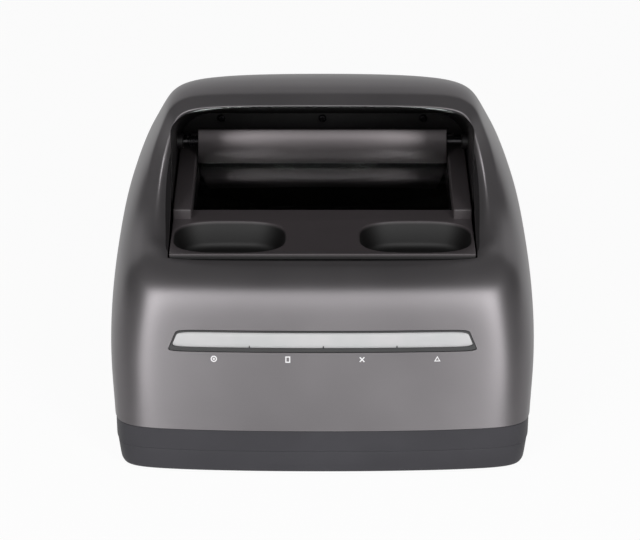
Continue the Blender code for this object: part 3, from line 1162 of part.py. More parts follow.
# Light bar: dark surround, milky lens, the divider's cells and the indicator board behind
bezel = bar_body("light_bar_bezel", BEZEL_RIM, BEZEL_TOP, BEZEL_BOTTOM, BEZEL_PROUD, -BEZEL_THICKNESS)
cut(bezel, bar_body("bezel_window", SEAT_GAP, BAR_LENS_TOP + SEAT_GAP, -BAR_LENS_TOP - SEAT_GAP,
                    OVERRUN, -BEZEL_THICKNESS - OVERRUN))
finish(bezel, (0.03, 0.03, 0.032), 0.5)
finish(bar_body("status_lens", 0, BAR_LENS_TOP, -BAR_LENS_TOP, -BAR_LENS_DEPTH, -BEZEL_THICKNESS),
       (0.65, 0.65, 0.65), 0.4)
DIVIDER_FRONT = -BEZEL_THICKNESS - SEAT_GAP
DIVIDER_BACK = DIVIDER_FRONT - DIVIDER_DEPTH
DIVIDER_TOP = BAR_LENS_TOP + DIVIDER_WALL
divider = bar_body("light_divider", -BEZEL_RIM, DIVIDER_TOP, -DIVIDER_TOP, DIVIDER_FRONT, DIVIDER_BACK)
divider_side = min(bar_side(BAR_LENS_TOP), bar_side(-BAR_LENS_TOP)) - BEZEL_RIM
cell_pitch = (divider_side * 2 - DIVIDER_WALL) / BAR_CELLS


def face_block(name, cell, half, height, front, back):
    """Make a box in one of the bar's cells, square to the face, between two depths."""
    middle = cell_pitch * (cell - (BAR_CELLS - 1) / 2)
    corners = [(middle - half, -height), (middle + half, -height), (middle + half, height),
               (middle - half, height)]
    return lofted(name, [[on_face(x, up, out) for x, up in corners] for out in (front, back)])


for index in range(BAR_CELLS):
    cut(divider, face_block("cell_%d" % index, index, (cell_pitch - DIVIDER_WALL) / 2,
                            BAR_LENS_TOP - DIVIDER_WALL / 2, DIVIDER_FRONT + OVERRUN, DIVIDER_BACK - OVERRUN))
finish(divider, (0.6, 0.6, 0.6), 0.5)
INDICATOR_BACK = DIVIDER_BACK - SEAT_GAP - BOARD_THICKNESS
indicator = bar_body("indicator_board", -BEZEL_RIM, DIVIDER_TOP, -DIVIDER_TOP, DIVIDER_BACK - SEAT_GAP,
                     INDICATOR_BACK)
for index in range(BAR_CELLS):
    join(indicator, face_block("indicator_emitter_%d" % index, index, EMITTER_SIZE / 2, EMITTER_SIZE / 2,
                               DIVIDER_BACK - BOARD_THICKNESS / 2, DIVIDER_BACK + EMITTER_DEPTH))
finish(indicator, *LAMINATE)


# Internal cables: the camera's flat ribbon and the indicator's lead
def strip(name, path, half_width, thickness, x=0.0):
    """Make a flat ribbon along a path of (y, z) places."""
    rings = []
    for index, (y, z) in enumerate(path):
        before = Vector(path[max(index - 1, 0)])
        after = Vector(path[min(index + 1, len(path) - 1)])
        run = (after - before).normalized()
        near, far = [(y - run.y * side, z + run.x * side) for side in (-thickness / 2, thickness / 2)]
        rings.append([(x - half_width, *near), (x - half_width, *far),
                      (x + half_width, *far), (x + half_width, *near)])
    return lofted(name, rings)


CABLE_BEND = 0.004
CABLE_BEND_STEPS = 5
LEAD_HALF = 0.004
cable_low = BOARD_TOP + CONNECTOR_HEIGHT / 2


def cable_path(y, top):
    """Run from a board down to the main board's socket, with one bend at the bottom."""
    path = [(y, top)]
    for step in range(CABLE_BEND_STEPS + 1):
        angle = math.pi / 2 * step / CABLE_BEND_STEPS
        path.append((y + CABLE_BEND * (1 - math.cos(angle)), cable_low + CABLE_BEND * (1 - math.sin(angle))))
    return path + [(SOCKET_Y - CONNECTOR_DEPTH - SEAT_GAP, cable_low)]


camera_board_front = camera_back - BOARD_THICKNESS
finish(strip("camera_ribbon", cable_path(camera_board_front - SEAT_GAP - RIBBON_THICKNESS,
                                         OPTICAL_AXIS - CAMERA_BOARD_HALF + CHIP_HALF),
             RIBBON_HALF, RIBBON_THICKNESS), (0.45, 0.24, 0.06), 0.4)
lead_top = on_face(INDICATOR_SOCKET_X, 0, INDICATOR_BACK - SEAT_GAP - RIBBON_THICKNESS)
finish(strip("indicator_cable", cable_path(lead_top.y, lead_top.z), LEAD_HALF, RIBBON_THICKNESS,
             INDICATOR_SOCKET_X), (0.5, 0.5, 0.5), 0.5)

# Rating plate under the base, left bare
RATING_PLATE_HALF = 0.020
RATING_PLATE_DEPTH = 0.014
RATING_PLATE_THICKNESS = 0.0004
plate_top = FOOT_HEIGHT - SEAT_GAP
finish(block("rating_plate", (-RATING_PLATE_HALF, -RATING_PLATE_DEPTH, plate_top - RATING_PLATE_THICKNESS),
             (RATING_PLATE_HALF, RATING_PLATE_DEPTH, plate_top)), (0.6, 0.6, 0.6), 0.4)
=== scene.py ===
"""Desktop passport reader: its looks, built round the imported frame."""
import math

import bmesh
import bpy
import numpy as np
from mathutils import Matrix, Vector
from mathutils.bvhtree import BVHTree


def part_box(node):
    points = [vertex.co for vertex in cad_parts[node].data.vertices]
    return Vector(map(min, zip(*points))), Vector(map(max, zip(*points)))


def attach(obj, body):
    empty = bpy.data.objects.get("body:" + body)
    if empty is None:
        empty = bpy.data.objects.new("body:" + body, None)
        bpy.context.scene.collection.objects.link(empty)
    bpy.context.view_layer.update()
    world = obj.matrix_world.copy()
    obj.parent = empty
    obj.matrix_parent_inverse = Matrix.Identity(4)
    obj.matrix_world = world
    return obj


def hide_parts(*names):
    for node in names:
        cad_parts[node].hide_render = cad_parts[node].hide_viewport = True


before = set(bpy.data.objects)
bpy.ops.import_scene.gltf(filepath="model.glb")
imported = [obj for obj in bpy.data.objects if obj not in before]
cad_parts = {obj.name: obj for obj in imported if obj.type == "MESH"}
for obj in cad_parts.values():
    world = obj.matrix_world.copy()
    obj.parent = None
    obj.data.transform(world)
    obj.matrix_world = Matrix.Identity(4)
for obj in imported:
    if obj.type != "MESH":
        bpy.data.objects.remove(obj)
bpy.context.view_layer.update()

# Studio
# A pale floor that runs up into a pale backdrop, one wide soft light high in front, two tall
# strips beside the front corners, and a long lens that looks down at the reader.
MM = 0.001
LENS_LENGTH = 179.2
SENSOR_WIDTH = 36
CAMERA_PLACE = (-1.2 * MM, -1450.6 * MM, 678.7 * MM)
CAMERA_TILT = math.radians(67)
FLOOR_HALF = 3.0
FLOOR_BACK = 1.6
BACKDROP_HEIGHT = 3.0
BACKDROP_BEND = 0.8


def linear(hex_code):
    """Turn an sRGB hex value into linear light."""
    parts = [int(hex_code[place:place + 2], 16) / 255 for place in (1, 3, 5)]
    return [part / 12.92 if part <= 0.04045 else ((part + 0.055) / 1.055) ** 2.4 for part in parts] + [1.0]


def add_node(tree, kind, values=(), links=(), **settings):
    """Add a node with its settings, its values by socket and the sockets that feed it."""
    node = tree.nodes.new(kind)
    for name, value in settings.items():
        setattr(node, name, value)
    for socket, value in dict(values).items():
        node.inputs[socket].default_value = value
    for socket, source in dict(links).items():
        tree.links.new(source, node.inputs[socket])
    return node


def new_material(name):
    """Start a material with an empty node tree."""
    material = bpy.data.materials.new(name)
    material.use_nodes = True
    material.node_tree.nodes.clear()
    return material, material.node_tree


def smooth_object(name, corners, faces, sharp_degrees=40):
    """Make an object at the origin from places and faces, smooth but for its sharper edges."""
    mesh = bpy.data.meshes.new(name)
    mesh.from_pydata([tuple(corner) for corner in corners], [], faces)
    work = bmesh.new()
    work.from_mesh(mesh)
    bmesh.ops.recalc_face_normals(work, faces=work.faces)
    work.to_mesh(mesh)
    work.free()
    thing = bpy.data.objects.new(name, mesh)
    bpy.context.scene.collection.objects.link(thing)
    soften(thing, sharp_degrees)
    return thing


def soften(thing, sharp_degrees=40):
    """Shade an object smooth, but keep its corners crisp."""
    mesh = thing.data
    mesh.polygons.foreach_set("use_smooth", [True] * len(mesh.polygons))
    mesh.set_sharp_from_angle(angle=math.radians(sharp_degrees))


def lofted(name, rings, closed=False, sharp_degrees=40):
    """Skin a list of equal loops; closed joins the last loop to the first, else both ends are capped."""
    count = len(rings[0])
    corners = [corner for ring in rings for corner in ring]
    faces = []
    for row in range(len(rings) if closed else len(rings) - 1):
        low = row * count
        high = (row + 1) % len(rings) * count
        for step in range(count):
            after = (step + 1) % count
            faces.append((low + step, low + after, high + after, high + step))
    if not closed:
        faces.append(tuple(range(count)))
        faces.append(tuple(range(len(corners) - count, len(corners))))
    return smooth_object(name, corners, faces, sharp_degrees)


def studio_floor():
    bend = [(FLOOR_BACK + BACKDROP_BEND * math.sin(angle), BACKDROP_BEND * (1 - math.cos(angle)))
            for angle in np.linspace(0, math.pi / 2, 12)]
    section = [(-FLOOR_HALF, 0.0)] + bend + [(FLOOR_BACK + BACKDROP_BEND, BACKDROP_HEIGHT)]
    corners = [(x, y, z) for x in (-FLOOR_HALF, FLOOR_HALF) for y, z in section]
    count = len(section)
    floor = smooth_object("studio_floor", corners,
                          [(step, count + step, count + step + 1, step + 1) for step in range(count - 1)])
    material, tree = new_material("white_paper_backdrop")
    coords = add_node(tree, "ShaderNodeTexCoord")
    grain = add_node(tree, "ShaderNodeTexNoise", {"Scale": 40.0}, {"Vector": coords.outputs["Object"]})
    tone = add_node(tree, "ShaderNodeMapRange", {"To Min": 0.88, "To Max": 0.9}, {"Value": grain.outputs["Fac"]})
    paper = add_node(tree, "ShaderNodeBsdfDiffuse", links={"Color": tone.outputs["Result"]})
    glow = add_node(tree, "ShaderNodeEmission", {"Color": (1, 1, 1, 1), "Strength": 1.0})
    rays = add_node(tree, "ShaderNodeLightPath")
    direct = add_node(tree, "ShaderNodeMath", {1: 0.95}, {0: rays.outputs["Is Camera Ray"]}, operation="MULTIPLY")
    glossy = add_node(tree, "ShaderNodeMath", {1: 0.6},
                      {0: rays.outputs["Is Glossy Ray"], 2: direct.outputs["Value"]}, operation="MULTIPLY_ADD")
    seen = add_node(tree, "ShaderNodeMath", {1: 0.72},
                    {0: rays.outputs["Is Transmission Ray"], 2: glossy.outputs["Value"]},
                    operation="MULTIPLY_ADD", use_clamp=True)
    both = add_node(tree, "ShaderNodeMixShader", links={0: seen.outputs["Value"], 1: paper.outputs["BSDF"],
                                                        2: glow.outputs["Emission"]})
    add_node(tree, "ShaderNodeOutputMaterial", links={"Surface": both.outputs["Shader"]})
    floor.data.materials.append(material)


def area_light(name, place, target, size, power):
    """Hang a rectangular soft light that faces a target."""
    data = bpy.data.lights.new(name, "AREA")
    data.shape = "RECTANGLE"
    data.size, data.size_y = size
    data.energy = power
    light = bpy.data.objects.new(name, data)
    light.location = place
    light.rotation_euler = (Vector(target) - Vector(place)).to_track_quat("-Z", "Y").to_euler()
    bpy.context.scene.collection.objects.link(light)


def studio():
    studio_floor()
    area_light("front_softbox", (0, -1.1, 0.85), (0, -0.02, 0.08), (0.6, 1.0), 3)
    area_light("left_strip", (-0.55, -1.15, 0.65), (-0.05, 0, 0.08), (0.3, 1.0), 7.2)
    area_light("right_strip", (0.55, -1.15, 0.65), (0.05, 0, 0.08), (0.3, 1.0), 7.4)
    world = bpy.data.worlds.new("studio_air")
    bpy.context.scene.world = world
    world.use_nodes = True
    world.node_tree.nodes.clear()
    air = add_node(world.node_tree, "ShaderNodeBackground", {"Color": (1, 1, 1, 1), "Strength": 0.11})
    add_node(world.node_tree, "ShaderNodeOutputWorld", links={"Surface": air.outputs["Background"]})
    bpy.context.scene.view_settings.view_transform = "Standard"
    data = bpy.data.cameras.new("product_camera")
    data.lens = LENS_LENGTH
    data.sensor_width = SENSOR_WIDTH
    camera = bpy.data.objects.new("product_camera", data)
    camera.location = CAMERA_PLACE
    camera.rotation_euler = (CAMERA_TILT, 0, 0)
    bpy.context.scene.collection.objects.link(camera)
    bpy.context.scene.camera = camera


studio()

# Upper shell
# One large ABS moulding, sprayed with a satin warm grey metallic paint: the nose, the sloped front
# face, the broad cheeks and the hood. It is a thin skin, open over the tray and cut for the light bar.
OPENING_HALF = 73.3 * MM
OUTER_HALF = 101.3 * MM
SHELL_BACK = 104 * MM
SHELL_FRONT = -SHELL_BACK
TRAY_FRONT = -62 * MM
RIM = -12 * MM
PARTING = 24.7 * MM
TRAY_TOP = 97.5 * MM
TOP = 161.5 * MM
SHELL_WALL = 2.5 * MM
SEAT_GAP = 0.3 * MM
OVERRUN = 4 * MM
HAIR = 0.01 * MM
ARCH_TOP = 150.5 * MM
ARCH_RADIUS = 11 * MM
ARCH_BACK_RADIUS = 16 * MM
ARCH_SEGMENTS = 20
CEILING_FALL = 38.7 * MM
CUTTER_LOW = TRAY_TOP - 18 * MM
SKIN_COLUMNS = 10
SKIN_ROWS = 7
# Rows of the rim's inner wall that are given near-black painted shade
PAINTED_SHADE_ROWS = 8
# Named lines round the shell, from the opening down to the parting line, each at twelve stations from
# the front centre round the right side to the back centre. A place is (x, y, z) in shares: x is 1 at
# the opening's side and 2 at the outer side; y is 0 at the front, 1 at the tray's front edge, 2 at the
# hood's rim and 3 at the back; z is 0 at the parting line, 1 at the tray and 2 at the top.
SHELL_LINE_SHARES = {
    "inner_edge": [
        (0.00, 1.140, 0.955), (0.55, 1.140, 0.955), (0.90, 1.120, 0.960), (0.91, 1.120, 0.974),
        (0.93, 1.220, 0.999), (0.93, 1.360, 1.008), (0.93, 1.860, 1.102), (0.93, 2.078, 1.414),
        (0.87, 2.078, 1.650), (0.74, 2.078, 1.806), (0.41, 2.078, 1.842), (0.00, 2.078, 1.845),
    ],
    "lip_inside": [
        (0.00, 1.020, 0.956), (0.56, 1.020, 0.956), (0.93, 1.014, 0.962), (0.99, 1.040, 0.981),
        (1.04, 1.160, 1.008), (1.04, 1.330, 1.019), (1.10, 1.740, 1.158), (1.06, 1.972, 1.461),
        (0.95, 1.976, 1.717), (0.89, 1.980, 1.842), (0.57, 1.988, 1.870), (0.00, 1.990, 1.872),
    ],
    "lip": [
        (0.00, 0.905, 0.955), (0.56, 0.914, 0.955), (0.95, 0.914, 0.957), (1.08, 0.964, 0.979),
        (1.19, 1.110, 1.009), (1.17, 1.320, 1.027), (1.21, 1.678, 1.192), (1.13, 1.940, 1.470),
        (0.98, 1.938, 1.744), (0.92, 1.936, 1.869), (0.58, 1.934, 1.889), (0.00, 1.934, 1.891),
    ],
    "band": [
        (0.00, 0.774, 0.938), (0.57, 0.786, 0.938), (0.97, 0.795, 0.938), (1.20, 0.881, 0.963),
        (1.33, 1.050, 1.005), (1.29, 1.320, 1.036), (1.25, 1.684, 1.194), (1.16, 1.954, 1.477),
        (0.99, 1.950, 1.755), (0.92, 1.946, 1.880), (0.58, 1.944, 1.900), (0.00, 1.942, 1.902),
    ],
    "crease_inside": [
        (0.00, 0.655, 0.904), (0.57, 0.667, 0.904), (0.98, 0.683, 0.902), (1.31, 0.786, 0.933),
        (1.44, 0.988, 0.990), (1.39, 1.320, 1.042), (1.42, 1.748, 1.155), (1.34, 2.018, 1.462),
        (1.11, 2.028, 1.722), (0.97, 2.031, 1.933), (0.60, 2.036, 1.948), (0.00, 2.036, 1.950),
    ],
    "crease": [
        (0.00, 0.552, 0.856), (0.57, 0.567, 0.856), (1.00, 0.588, 0.854), (1.40, 0.690, 0.887),
        (1.55, 0.929, 0.959), (1.50, 1.320, 1.033), (1.46, 1.766, 1.142), (1.38, 2.024, 1.459),
        (1.14, 2.034, 1.730), (0.98, 2.039, 1.939), (0.61, 2.044, 1.953), (0.00, 2.044, 1.955),
    ],
    "shoulder": [
        (0.00, 0.476, 0.787), (0.57, 0.493, 0.787), (1.01, 0.519, 0.787), (1.47, 0.607, 0.828),
        (1.69, 0.869, 0.904), (1.69, 1.320, 0.986), (1.69, 1.800, 1.086), (1.53, 2.103, 1.383),
        (1.15, 2.180, 1.720), (1.00, 2.200, 1.980), (0.68, 2.210, 2.021), (0.00, 2.210, 2.024),
    ],
    "upper_flank": [
        (0.00, 0.414, 0.691), (0.57, 0.431, 0.691), (1.03, 0.455, 0.691), (1.54, 0.524, 0.718),
        (1.83, 0.798, 0.773), (1.90, 1.310, 0.870), (1.91, 2.000, 0.897), (1.81, 2.319, 1.102),
        (1.43, 2.517, 1.383), (1.13, 2.638, 1.575), (0.60, 2.655, 1.684), (0.00, 2.655, 1.700),
    ],
    "middle_flank": [
        (0.00, 0.281, 0.464), (0.58, 0.300, 0.464), (1.06, 0.336, 0.464), (1.65, 0.393, 0.485),
        (1.96, 0.702, 0.512), (2.01, 1.300, 0.622), (2.01, 2.060, 0.622), (1.96, 2.466, 0.705),
        (1.83, 2.836, 0.924), (1.40, 2.985, 1.234), (0.64, 2.997, 1.438), (0.00, 3.000, 1.445),
    ],
    "lower_flank": [
        (0.00, 0.138, 0.231), (0.58, 0.160, 0.231), (1.07, 0.200, 0.231), (1.72, 0.267, 0.238),
        (2.00, 0.607, 0.251), (2.03, 1.300, 0.320), (2.03, 2.078, 0.320), (2.01, 2.500, 0.348),
        (1.92, 2.841, 0.444), (1.54, 2.978, 0.540), (0.64, 2.998, 0.718), (0.00, 3.002, 0.732),
    ],
    "parting": [
        (0.00, 0.000, 0.000), (0.57, 0.019, 0.000), (1.03, 0.071, 0.000), (1.80, 0.160, 0.000),
        (1.94, 0.548, 0.000), (1.90, 1.300, 0.000), (1.89, 2.078, 0.000), (1.87, 2.500, 0.000),
        (1.83, 2.828, 0.000), (1.49, 2.964, 0.000), (0.63, 2.990, 0.000), (0.00, 2.993, 0.000),
    ],
}
INNER_LINE_PAIRS = [(0, 0), (1, 2), (4, 5), (6, 6), (7, 7), (8, 8), (9, 9), (10, 10)]


def level(share, levels):
    """Read a share as a place between neighbouring levels."""
    first = min(int(share), len(levels) - 2)
    return levels[first] + (share - first) * (levels[first + 1] - levels[first])


def shell_net():
    """Give the control places as an array of stations all the way round, by lines, by x, y and z."""
    lines = []
    for shares in SHELL_LINE_SHARES.values():
        right = [(level(x, (0, OPENING_HALF, OUTER_HALF)),
                  level(y, (SHELL_FRONT, TRAY_FRONT, RIM, SHELL_BACK)),
                  level(z, (PARTING, TRAY_TOP, TOP))) for x, y, z in shares]
        left = [(-x, y, z) for x, y, z in reversed(right[1:-1])]
        lines.append(right + left)
    return np.array(lines).transpose(1, 0, 2)


def spline_weights(t):
    """Give the uniform cubic B-spline's four weights at t."""
    return np.array([(1 - t) ** 3, 3 * t ** 3 - 6 * t ** 2 + 4, -3 * t ** 3 + 3 * t ** 2 + 3 * t + 1, t ** 3]) / 6


def spline_surface(net, columns, rows):
    """Evaluate a net, closed round the stations and ending on its first and last lines."""
    ends = np.concatenate([2 * net[:, :1] - net[:, 1:2], net, 2 * net[:, -1:] - net[:, -2:-1]], axis=1)
    lines = []
    for span in range(net.shape[1] - 1):
        for step in range(rows):
            lines.append(np.tensordot(spline_weights(step / rows), ends[:, span:span + 4], axes=(0, 1)))
    lines.append(net[:, -1])
    surface = []
    for line in lines:
        ring = []
        for station in range(len(line)):
            near = np.array([line[(station + shift) % len(line)] for shift in (-1, 0, 1, 2)])
            ring += [Vector(spline_weights(step / columns) @ near) for step in range(columns)]
        surface.append(ring)
    return surface


def inward_net(net, wall):
    """Give the net of a skin that lies one wall inside another."""
    merged = np.stack([(net[:, first] + net[:, second]) / 2 for first, second in INNER_LINE_PAIRS], axis=1)
    along = np.roll(merged, -1, axis=0) - np.roll(merged, 1, axis=0)
    normal = np.cross(along, np.gradient(merged, axis=1))
    normal /= np.linalg.norm(normal, axis=2, keepdims=True)
    moved = merged + normal * wall
    moved[:, -1, 2] = PARTING
    return moved


def skin_tree(skin):
    """Prepare a skin for finding where a ray meets it."""
    count = len(skin[0])
    faces = [(row * count + step, row * count + (step + 1) % count,
              (row + 1) * count + (step + 1) % count, (row + 1) * count + step)
             for row in range(len(skin) - 1) for step in range(count)]
    return BVHTree.FromPolygons([corner for ring in skin for corner in ring], faces)


def ceiling(y):
    """Give the cavity ceiling's height at a depth, falling evenly to the back."""
    return ARCH_TOP - CEILING_FALL * (y - LINER_FRONT) / (LINER_BACK - LINER_FRONT)


def arch(y, top, low, grow=0.0):
    """Give the cavity's upright arch outline at one depth, grown outwards by a wall."""
    side = OPENING_HALF + grow
    radius = ARCH_RADIUS + (ARCH_BACK_RADIUS - ARCH_RADIUS) * (ARCH_TOP - top) / CEILING_FALL + grow
    high = top + grow
    ring = [(-side, y, low), (side, y, low)]
    for sign, turn in ((1, 0), (-1, 1)):
        for step in range(ARCH_SEGMENTS + 1):
            angle = math.pi / 2 * (turn + step / ARCH_SEGMENTS)
            ring.append((sign * (side - radius) + radius * math.cos(angle), y,
                         high - radius + radius * math.sin(angle)))
    return ring


def carve(thing, tools, operation="DIFFERENCE"):
    """Cut or join an object with others at once, and delete them."""
    for tool in tools:
        step = thing.modifiers.new(tool.name, "BOOLEAN")
        step.operation = operation
        step.solver = "EXACT"
        step.object = tool
    settle(thing)
    for tool in tools:
        bpy.data.objects.remove(tool, do_unlink=True)
    return thing


def settle(thing):
    """Turn an object's modifiers into plain mesh."""
    bpy.context.view_layer.update()
    shaped = thing.evaluated_get(bpy.context.evaluated_depsgraph_get())
    mesh = bpy.data.meshes.new_from_object(shaped)
    thing.modifiers.clear()
    thing.data = mesh
    soften(thing)
    return thing


def dress(thing, material, body, *nodes):
    """Give a finished piece its material, its body and the nodes that it stands for."""
    thing.data.materials.clear()
    thing.data.materials.append(material)
    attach(thing, body)
    if nodes:
        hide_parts(*nodes)
    return thing


LINER_FRONT = RIM + 10.5 * MM
LINER_BACK = 91.3 * MM
LINER_WALL = 1.6 * MM
NET = shell_net()
OUTER_SKIN = spline_surface(NET, SKIN_COLUMNS, SKIN_ROWS)
INNER_SKIN = spline_surface(inward_net(NET, SHELL_WALL), SKIN_COLUMNS, 2)
OUTER_TREE = skin_tree(OUTER_SKIN)


def face_place(x, z):
    """Find the front face's surface at one width and height."""
    return OUTER_TREE.ray_cast(Vector((x + HAIR, TRAY_FRONT, z + HAIR)), Vector((0, -1, 0)))[0]


# The light bar's place on the face, which its window and its own pieces share
BAR_Z = PARTING + 40.3 * MM
BAR_LENS_HEIGHT = 7.1 * MM
BAR_BOTTOM_WIDTH = 142 * MM
BAR_TOP_WIDTH = 136 * MM
BEZEL_RIM = 0.8 * MM
BEZEL_SILL = 1.9 * MM
BAR_CORNER = 1.3 * MM
BAR_STEPS = 40
FACE_LOW = face_place(0, BAR_Z - BAR_LENS_HEIGHT)
FACE_HIGH = face_place(0, BAR_Z + BAR_LENS_HEIGHT)
FACE_UP = (FACE_HIGH - FACE_LOW).normalized()
FACE_OUT = Vector((0, -FACE_UP.z, FACE_UP.y))
BAR_MIDDLE = (FACE_LOW + FACE_HIGH) / 2
BAR_BOW = face_place(BAR_BOTTOM_WIDTH / 2, BAR_Z).y - BAR_MIDDLE.y
BAR_LENS_TOP = BAR_LENS_HEIGHT / 2
BEZEL_TOP = BAR_LENS_TOP + BEZEL_RIM
BEZEL_BOTTOM = -BAR_LENS_TOP - BEZEL_SILL


def on_face(x, up, out):
    """Give a place by its width, its way up the face and its way out of it, following the face's bow."""
    bow = BAR_BOW * (x / (BAR_BOTTOM_WIDTH / 2)) ** 2
    place = BAR_MIDDLE + FACE_UP * up + FACE_OUT * out
    return Vector((x, place.y + bow, place.z))


def bar_side(up):
    """Give the bar's half width at a way up the face: its ends lean inwards."""
    share = 1 / 2 + up / BAR_LENS_HEIGHT
    return (BAR_BOTTOM_WIDTH + (BAR_TOP_WIDTH - BAR_BOTTOM_WIDTH) * share) / 2


def bar_body(name, grow_side, top, bottom, out, inward, crown=0.0):
    """Make a bowed bar between two heights on the face and two depths, with rounded ends and a crown."""
    rings = []
    height = top - bottom
    middle = (top + bottom) / 2
    for step in range(-BAR_STEPS, BAR_STEPS + 1):
        share = math.sin(math.pi / 2 * step / BAR_STEPS)
        squeeze = math.sqrt(max(0, 1 - abs(share) ** 24))
        half = height / 2 - BAR_CORNER * (1 - squeeze)
        section = [(half, out - crown), (half * 0.9, out - crown / 3), (half * 0.5, out), (-half * 0.5, out),
                   (-half * 0.9, out - crown / 3), (-half, out - crown), (-half, inward), (half, inward)]
        rings.append([on_face(share * (bar_side(middle + up) + grow_side), middle + up, depth)
                      for up, depth in section])
    return lofted(name, rings)


def metallic_paint(name, dark, light, smoothest, roughest, metallic=0.8):
    """Satin metallic paint: fine flake under a soft sheen, with a slight orange peel."""
    material, tree = new_material(name)
    coords = add_node(tree, "ShaderNodeTexCoord").outputs["Object"]
    flake = add_node(tree, "ShaderNodeTexNoise", {"Scale": 1 / (0.35 * MM), "Detail": 2.0}, {"Vector": coords})
    cloud = add_node(tree, "ShaderNodeTexNoise", {"Scale": 1 / (45 * MM), "Detail": 2.0}, {"Vector": coords})
    both = add_node(tree, "ShaderNodeMath", {1: 0.35}, {0: flake.outputs["Fac"], 2: cloud.outputs["Fac"]},
                    operation="MULTIPLY_ADD")
    tint = add_node(tree, "ShaderNodeValToRGB", links={"Fac": both.outputs["Value"]})
    tint.color_ramp.elements[0].position = 0.4
    tint.color_ramp.elements[0].color = linear(dark)
    tint.color_ramp.elements[1].position = 0.95
    tint.color_ramp.elements[1].color = linear(light)
    rough = add_node(tree, "ShaderNodeMapRange", {"To Min": smoothest, "To Max": roughest},
                     {"Value": both.outputs["Value"]})
    peel = add_node(tree, "ShaderNodeTexNoise", {"Scale": 1 / (0.9 * MM), "Detail": 1.0}, {"Vector": coords})
    bump = add_node(tree, "ShaderNodeBump", {"Strength": 0.06, "Distance": 0.02 * MM}, {"Height": peel.outputs["Fac"]})
    shader = add_node(tree, "ShaderNodeBsdfPrincipled", {"Metallic": metallic, "IOR": 1.5},
                      {"Base Color": tint.outputs["Color"], "Roughness": rough.outputs["Result"],
                       "Normal": bump.outputs["Normal"]})
    add_node(tree, "ShaderNodeOutputMaterial", links={"Surface": shader.outputs["BSDF"]})
    return material


def grained_plastic(name, dark, light, roughness, grain=0.5 * MM, depth=0.03 * MM, strength=0.35, sheen_ior=1.5):
    """Moulded plastic with an eroded grain: tiny pits that scatter the light, and a faint cloudiness."""
    material, tree = new_material(name)
    coords = add_node(tree, "ShaderNodeTexCoord").outputs["Object"]
    pits = add_node(tree, "ShaderNodeTexNoise", {"Scale": 1 / grain, "Detail": 3.0, "Roughness": 0.6}, {"Vector": coords})
    cloud = add_node(tree, "ShaderNodeTexNoise", {"Scale": 1 / (30 * MM), "Detail": 2.0}, {"Vector": coords})
    both = add_node(tree, "ShaderNodeMath", {1: 0.5}, {0: pits.outputs["Fac"], 2: cloud.outputs["Fac"]},
                    operation="MULTIPLY_ADD")
    tint = add_node(tree, "ShaderNodeValToRGB", links={"Fac": both.outputs["Value"]})
    tint.color_ramp.elements[0].position = 0.5
    tint.color_ramp.elements[0].color = linear(dark)
    tint.color_ramp.elements[1].position = 1.0
    tint.color_ramp.elements[1].color = linear(light)
    rough = add_node(tree, "ShaderNodeMapRange", {"To Min": roughness - 0.05, "To Max": roughness + 0.05},
                     {"Value": pits.outputs["Fac"]})
    bump = add_node(tree, "ShaderNodeBump", {"Strength": strength, "Distance": depth}, {"Height": pits.outputs["Fac"]})
    shader = add_node(tree, "ShaderNodeBsdfPrincipled", {"IOR": sheen_ior},
                      {"Base Color": tint.outputs["Color"], "Roughness": rough.outputs["Result"],
                       "Normal": bump.outputs["Normal"]})
    add_node(tree, "ShaderNodeOutputMaterial", links={"Surface": shader.outputs["BSDF"]})
    return material


def upper_shell():
    shell = lofted("painted_shell", OUTER_SKIN + list(reversed(INNER_SKIN)), closed=True)
    opening = lofted("opening_cutter", [arch(TRAY_FRONT - SEAT_GAP, ARCH_TOP, CUTTER_LOW),
                                        arch(NET[:, 0, 1].max() + SHELL_WALL + OVERRUN, ARCH_TOP, CUTTER_LOW)])
    window = bar_body("bar_window", BEZEL_RIM + SEAT_GAP, BEZEL_TOP + SEAT_GAP, BEZEL_BOTTOM - SEAT_GAP,
                      OVERRUN, -SHELL_WALL * 2 - OVERRUN)
    shell.data.materials.append(metallic_paint("satin_metallic_paint_on_abs", "#737072", "#7b787a", 0.31, 0.39))
    shell.data.materials.append(grained_plastic("painted_shade_black_abs", "#0f0d0e", "#171416", 0.6))
    # Painted shade: the first rows of the outer skin, the rim's inner wall behind the lip, take a near-black plastic so
    # that the hood's mouth reads as dark.
    for face in shell.data.polygons[:len(OUTER_SKIN[0]) * PAINTED_SHADE_ROWS]:
        face.material_index = 1
    carve(shell, [opening, window])
    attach(shell, "reader")
    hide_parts("upper_shell")


upper_shell()

# Base tray
# The lower half of the housing: a tub moulded in dark grey ABS with a fine spark-eroded grain. A
# shallow crease runs round its wall, and four deep screws from below hold it to the shell.
BASE_RIM = PARTING - SEAT_GAP
BASE_CREASE = 13.5 * MM
FOOT_HEIGHT = 2 * MM
FLOOR_TOP = FOOT_HEIGHT + 2.5 * MM
FOOT_RADIUS = 7 * MM
BASE_PROFILE = [(3.6 * MM, FOOT_HEIGHT), (2.8 * MM, FOOT_HEIGHT + 0.35 * MM), (2.35 * MM, FOOT_HEIGHT + 1.1 * MM),
                (2.1 * MM, FOOT_HEIGHT + 2.4 * MM), (0.95 * MM, BASE_CREASE - 0.45 * MM),
                (1.05 * MM, BASE_CREASE - 0.1 * MM), (0.62 * MM, BASE_CREASE + 0.35 * MM),
                (0.42 * MM, BASE_RIM - 0.35 * MM), (0.75 * MM, BASE_RIM)]
BASE_INSIDE = [(2.9 * MM, BASE_RIM), (4.7 * MM, FLOOR_TOP)]


def inset_ring(ring, inset, z):
    """Move a flat ring inwards by an even distance, at a new height."""
    moved = []
    for step, place in enumerate(ring):
        run = ring[(step + 1) % len(ring)] - ring[step - 1]
        moved.append(Vector((place.x, place.y, z)) + Vector((-run.y, run.x, 0)).normalized() * inset)
    return moved


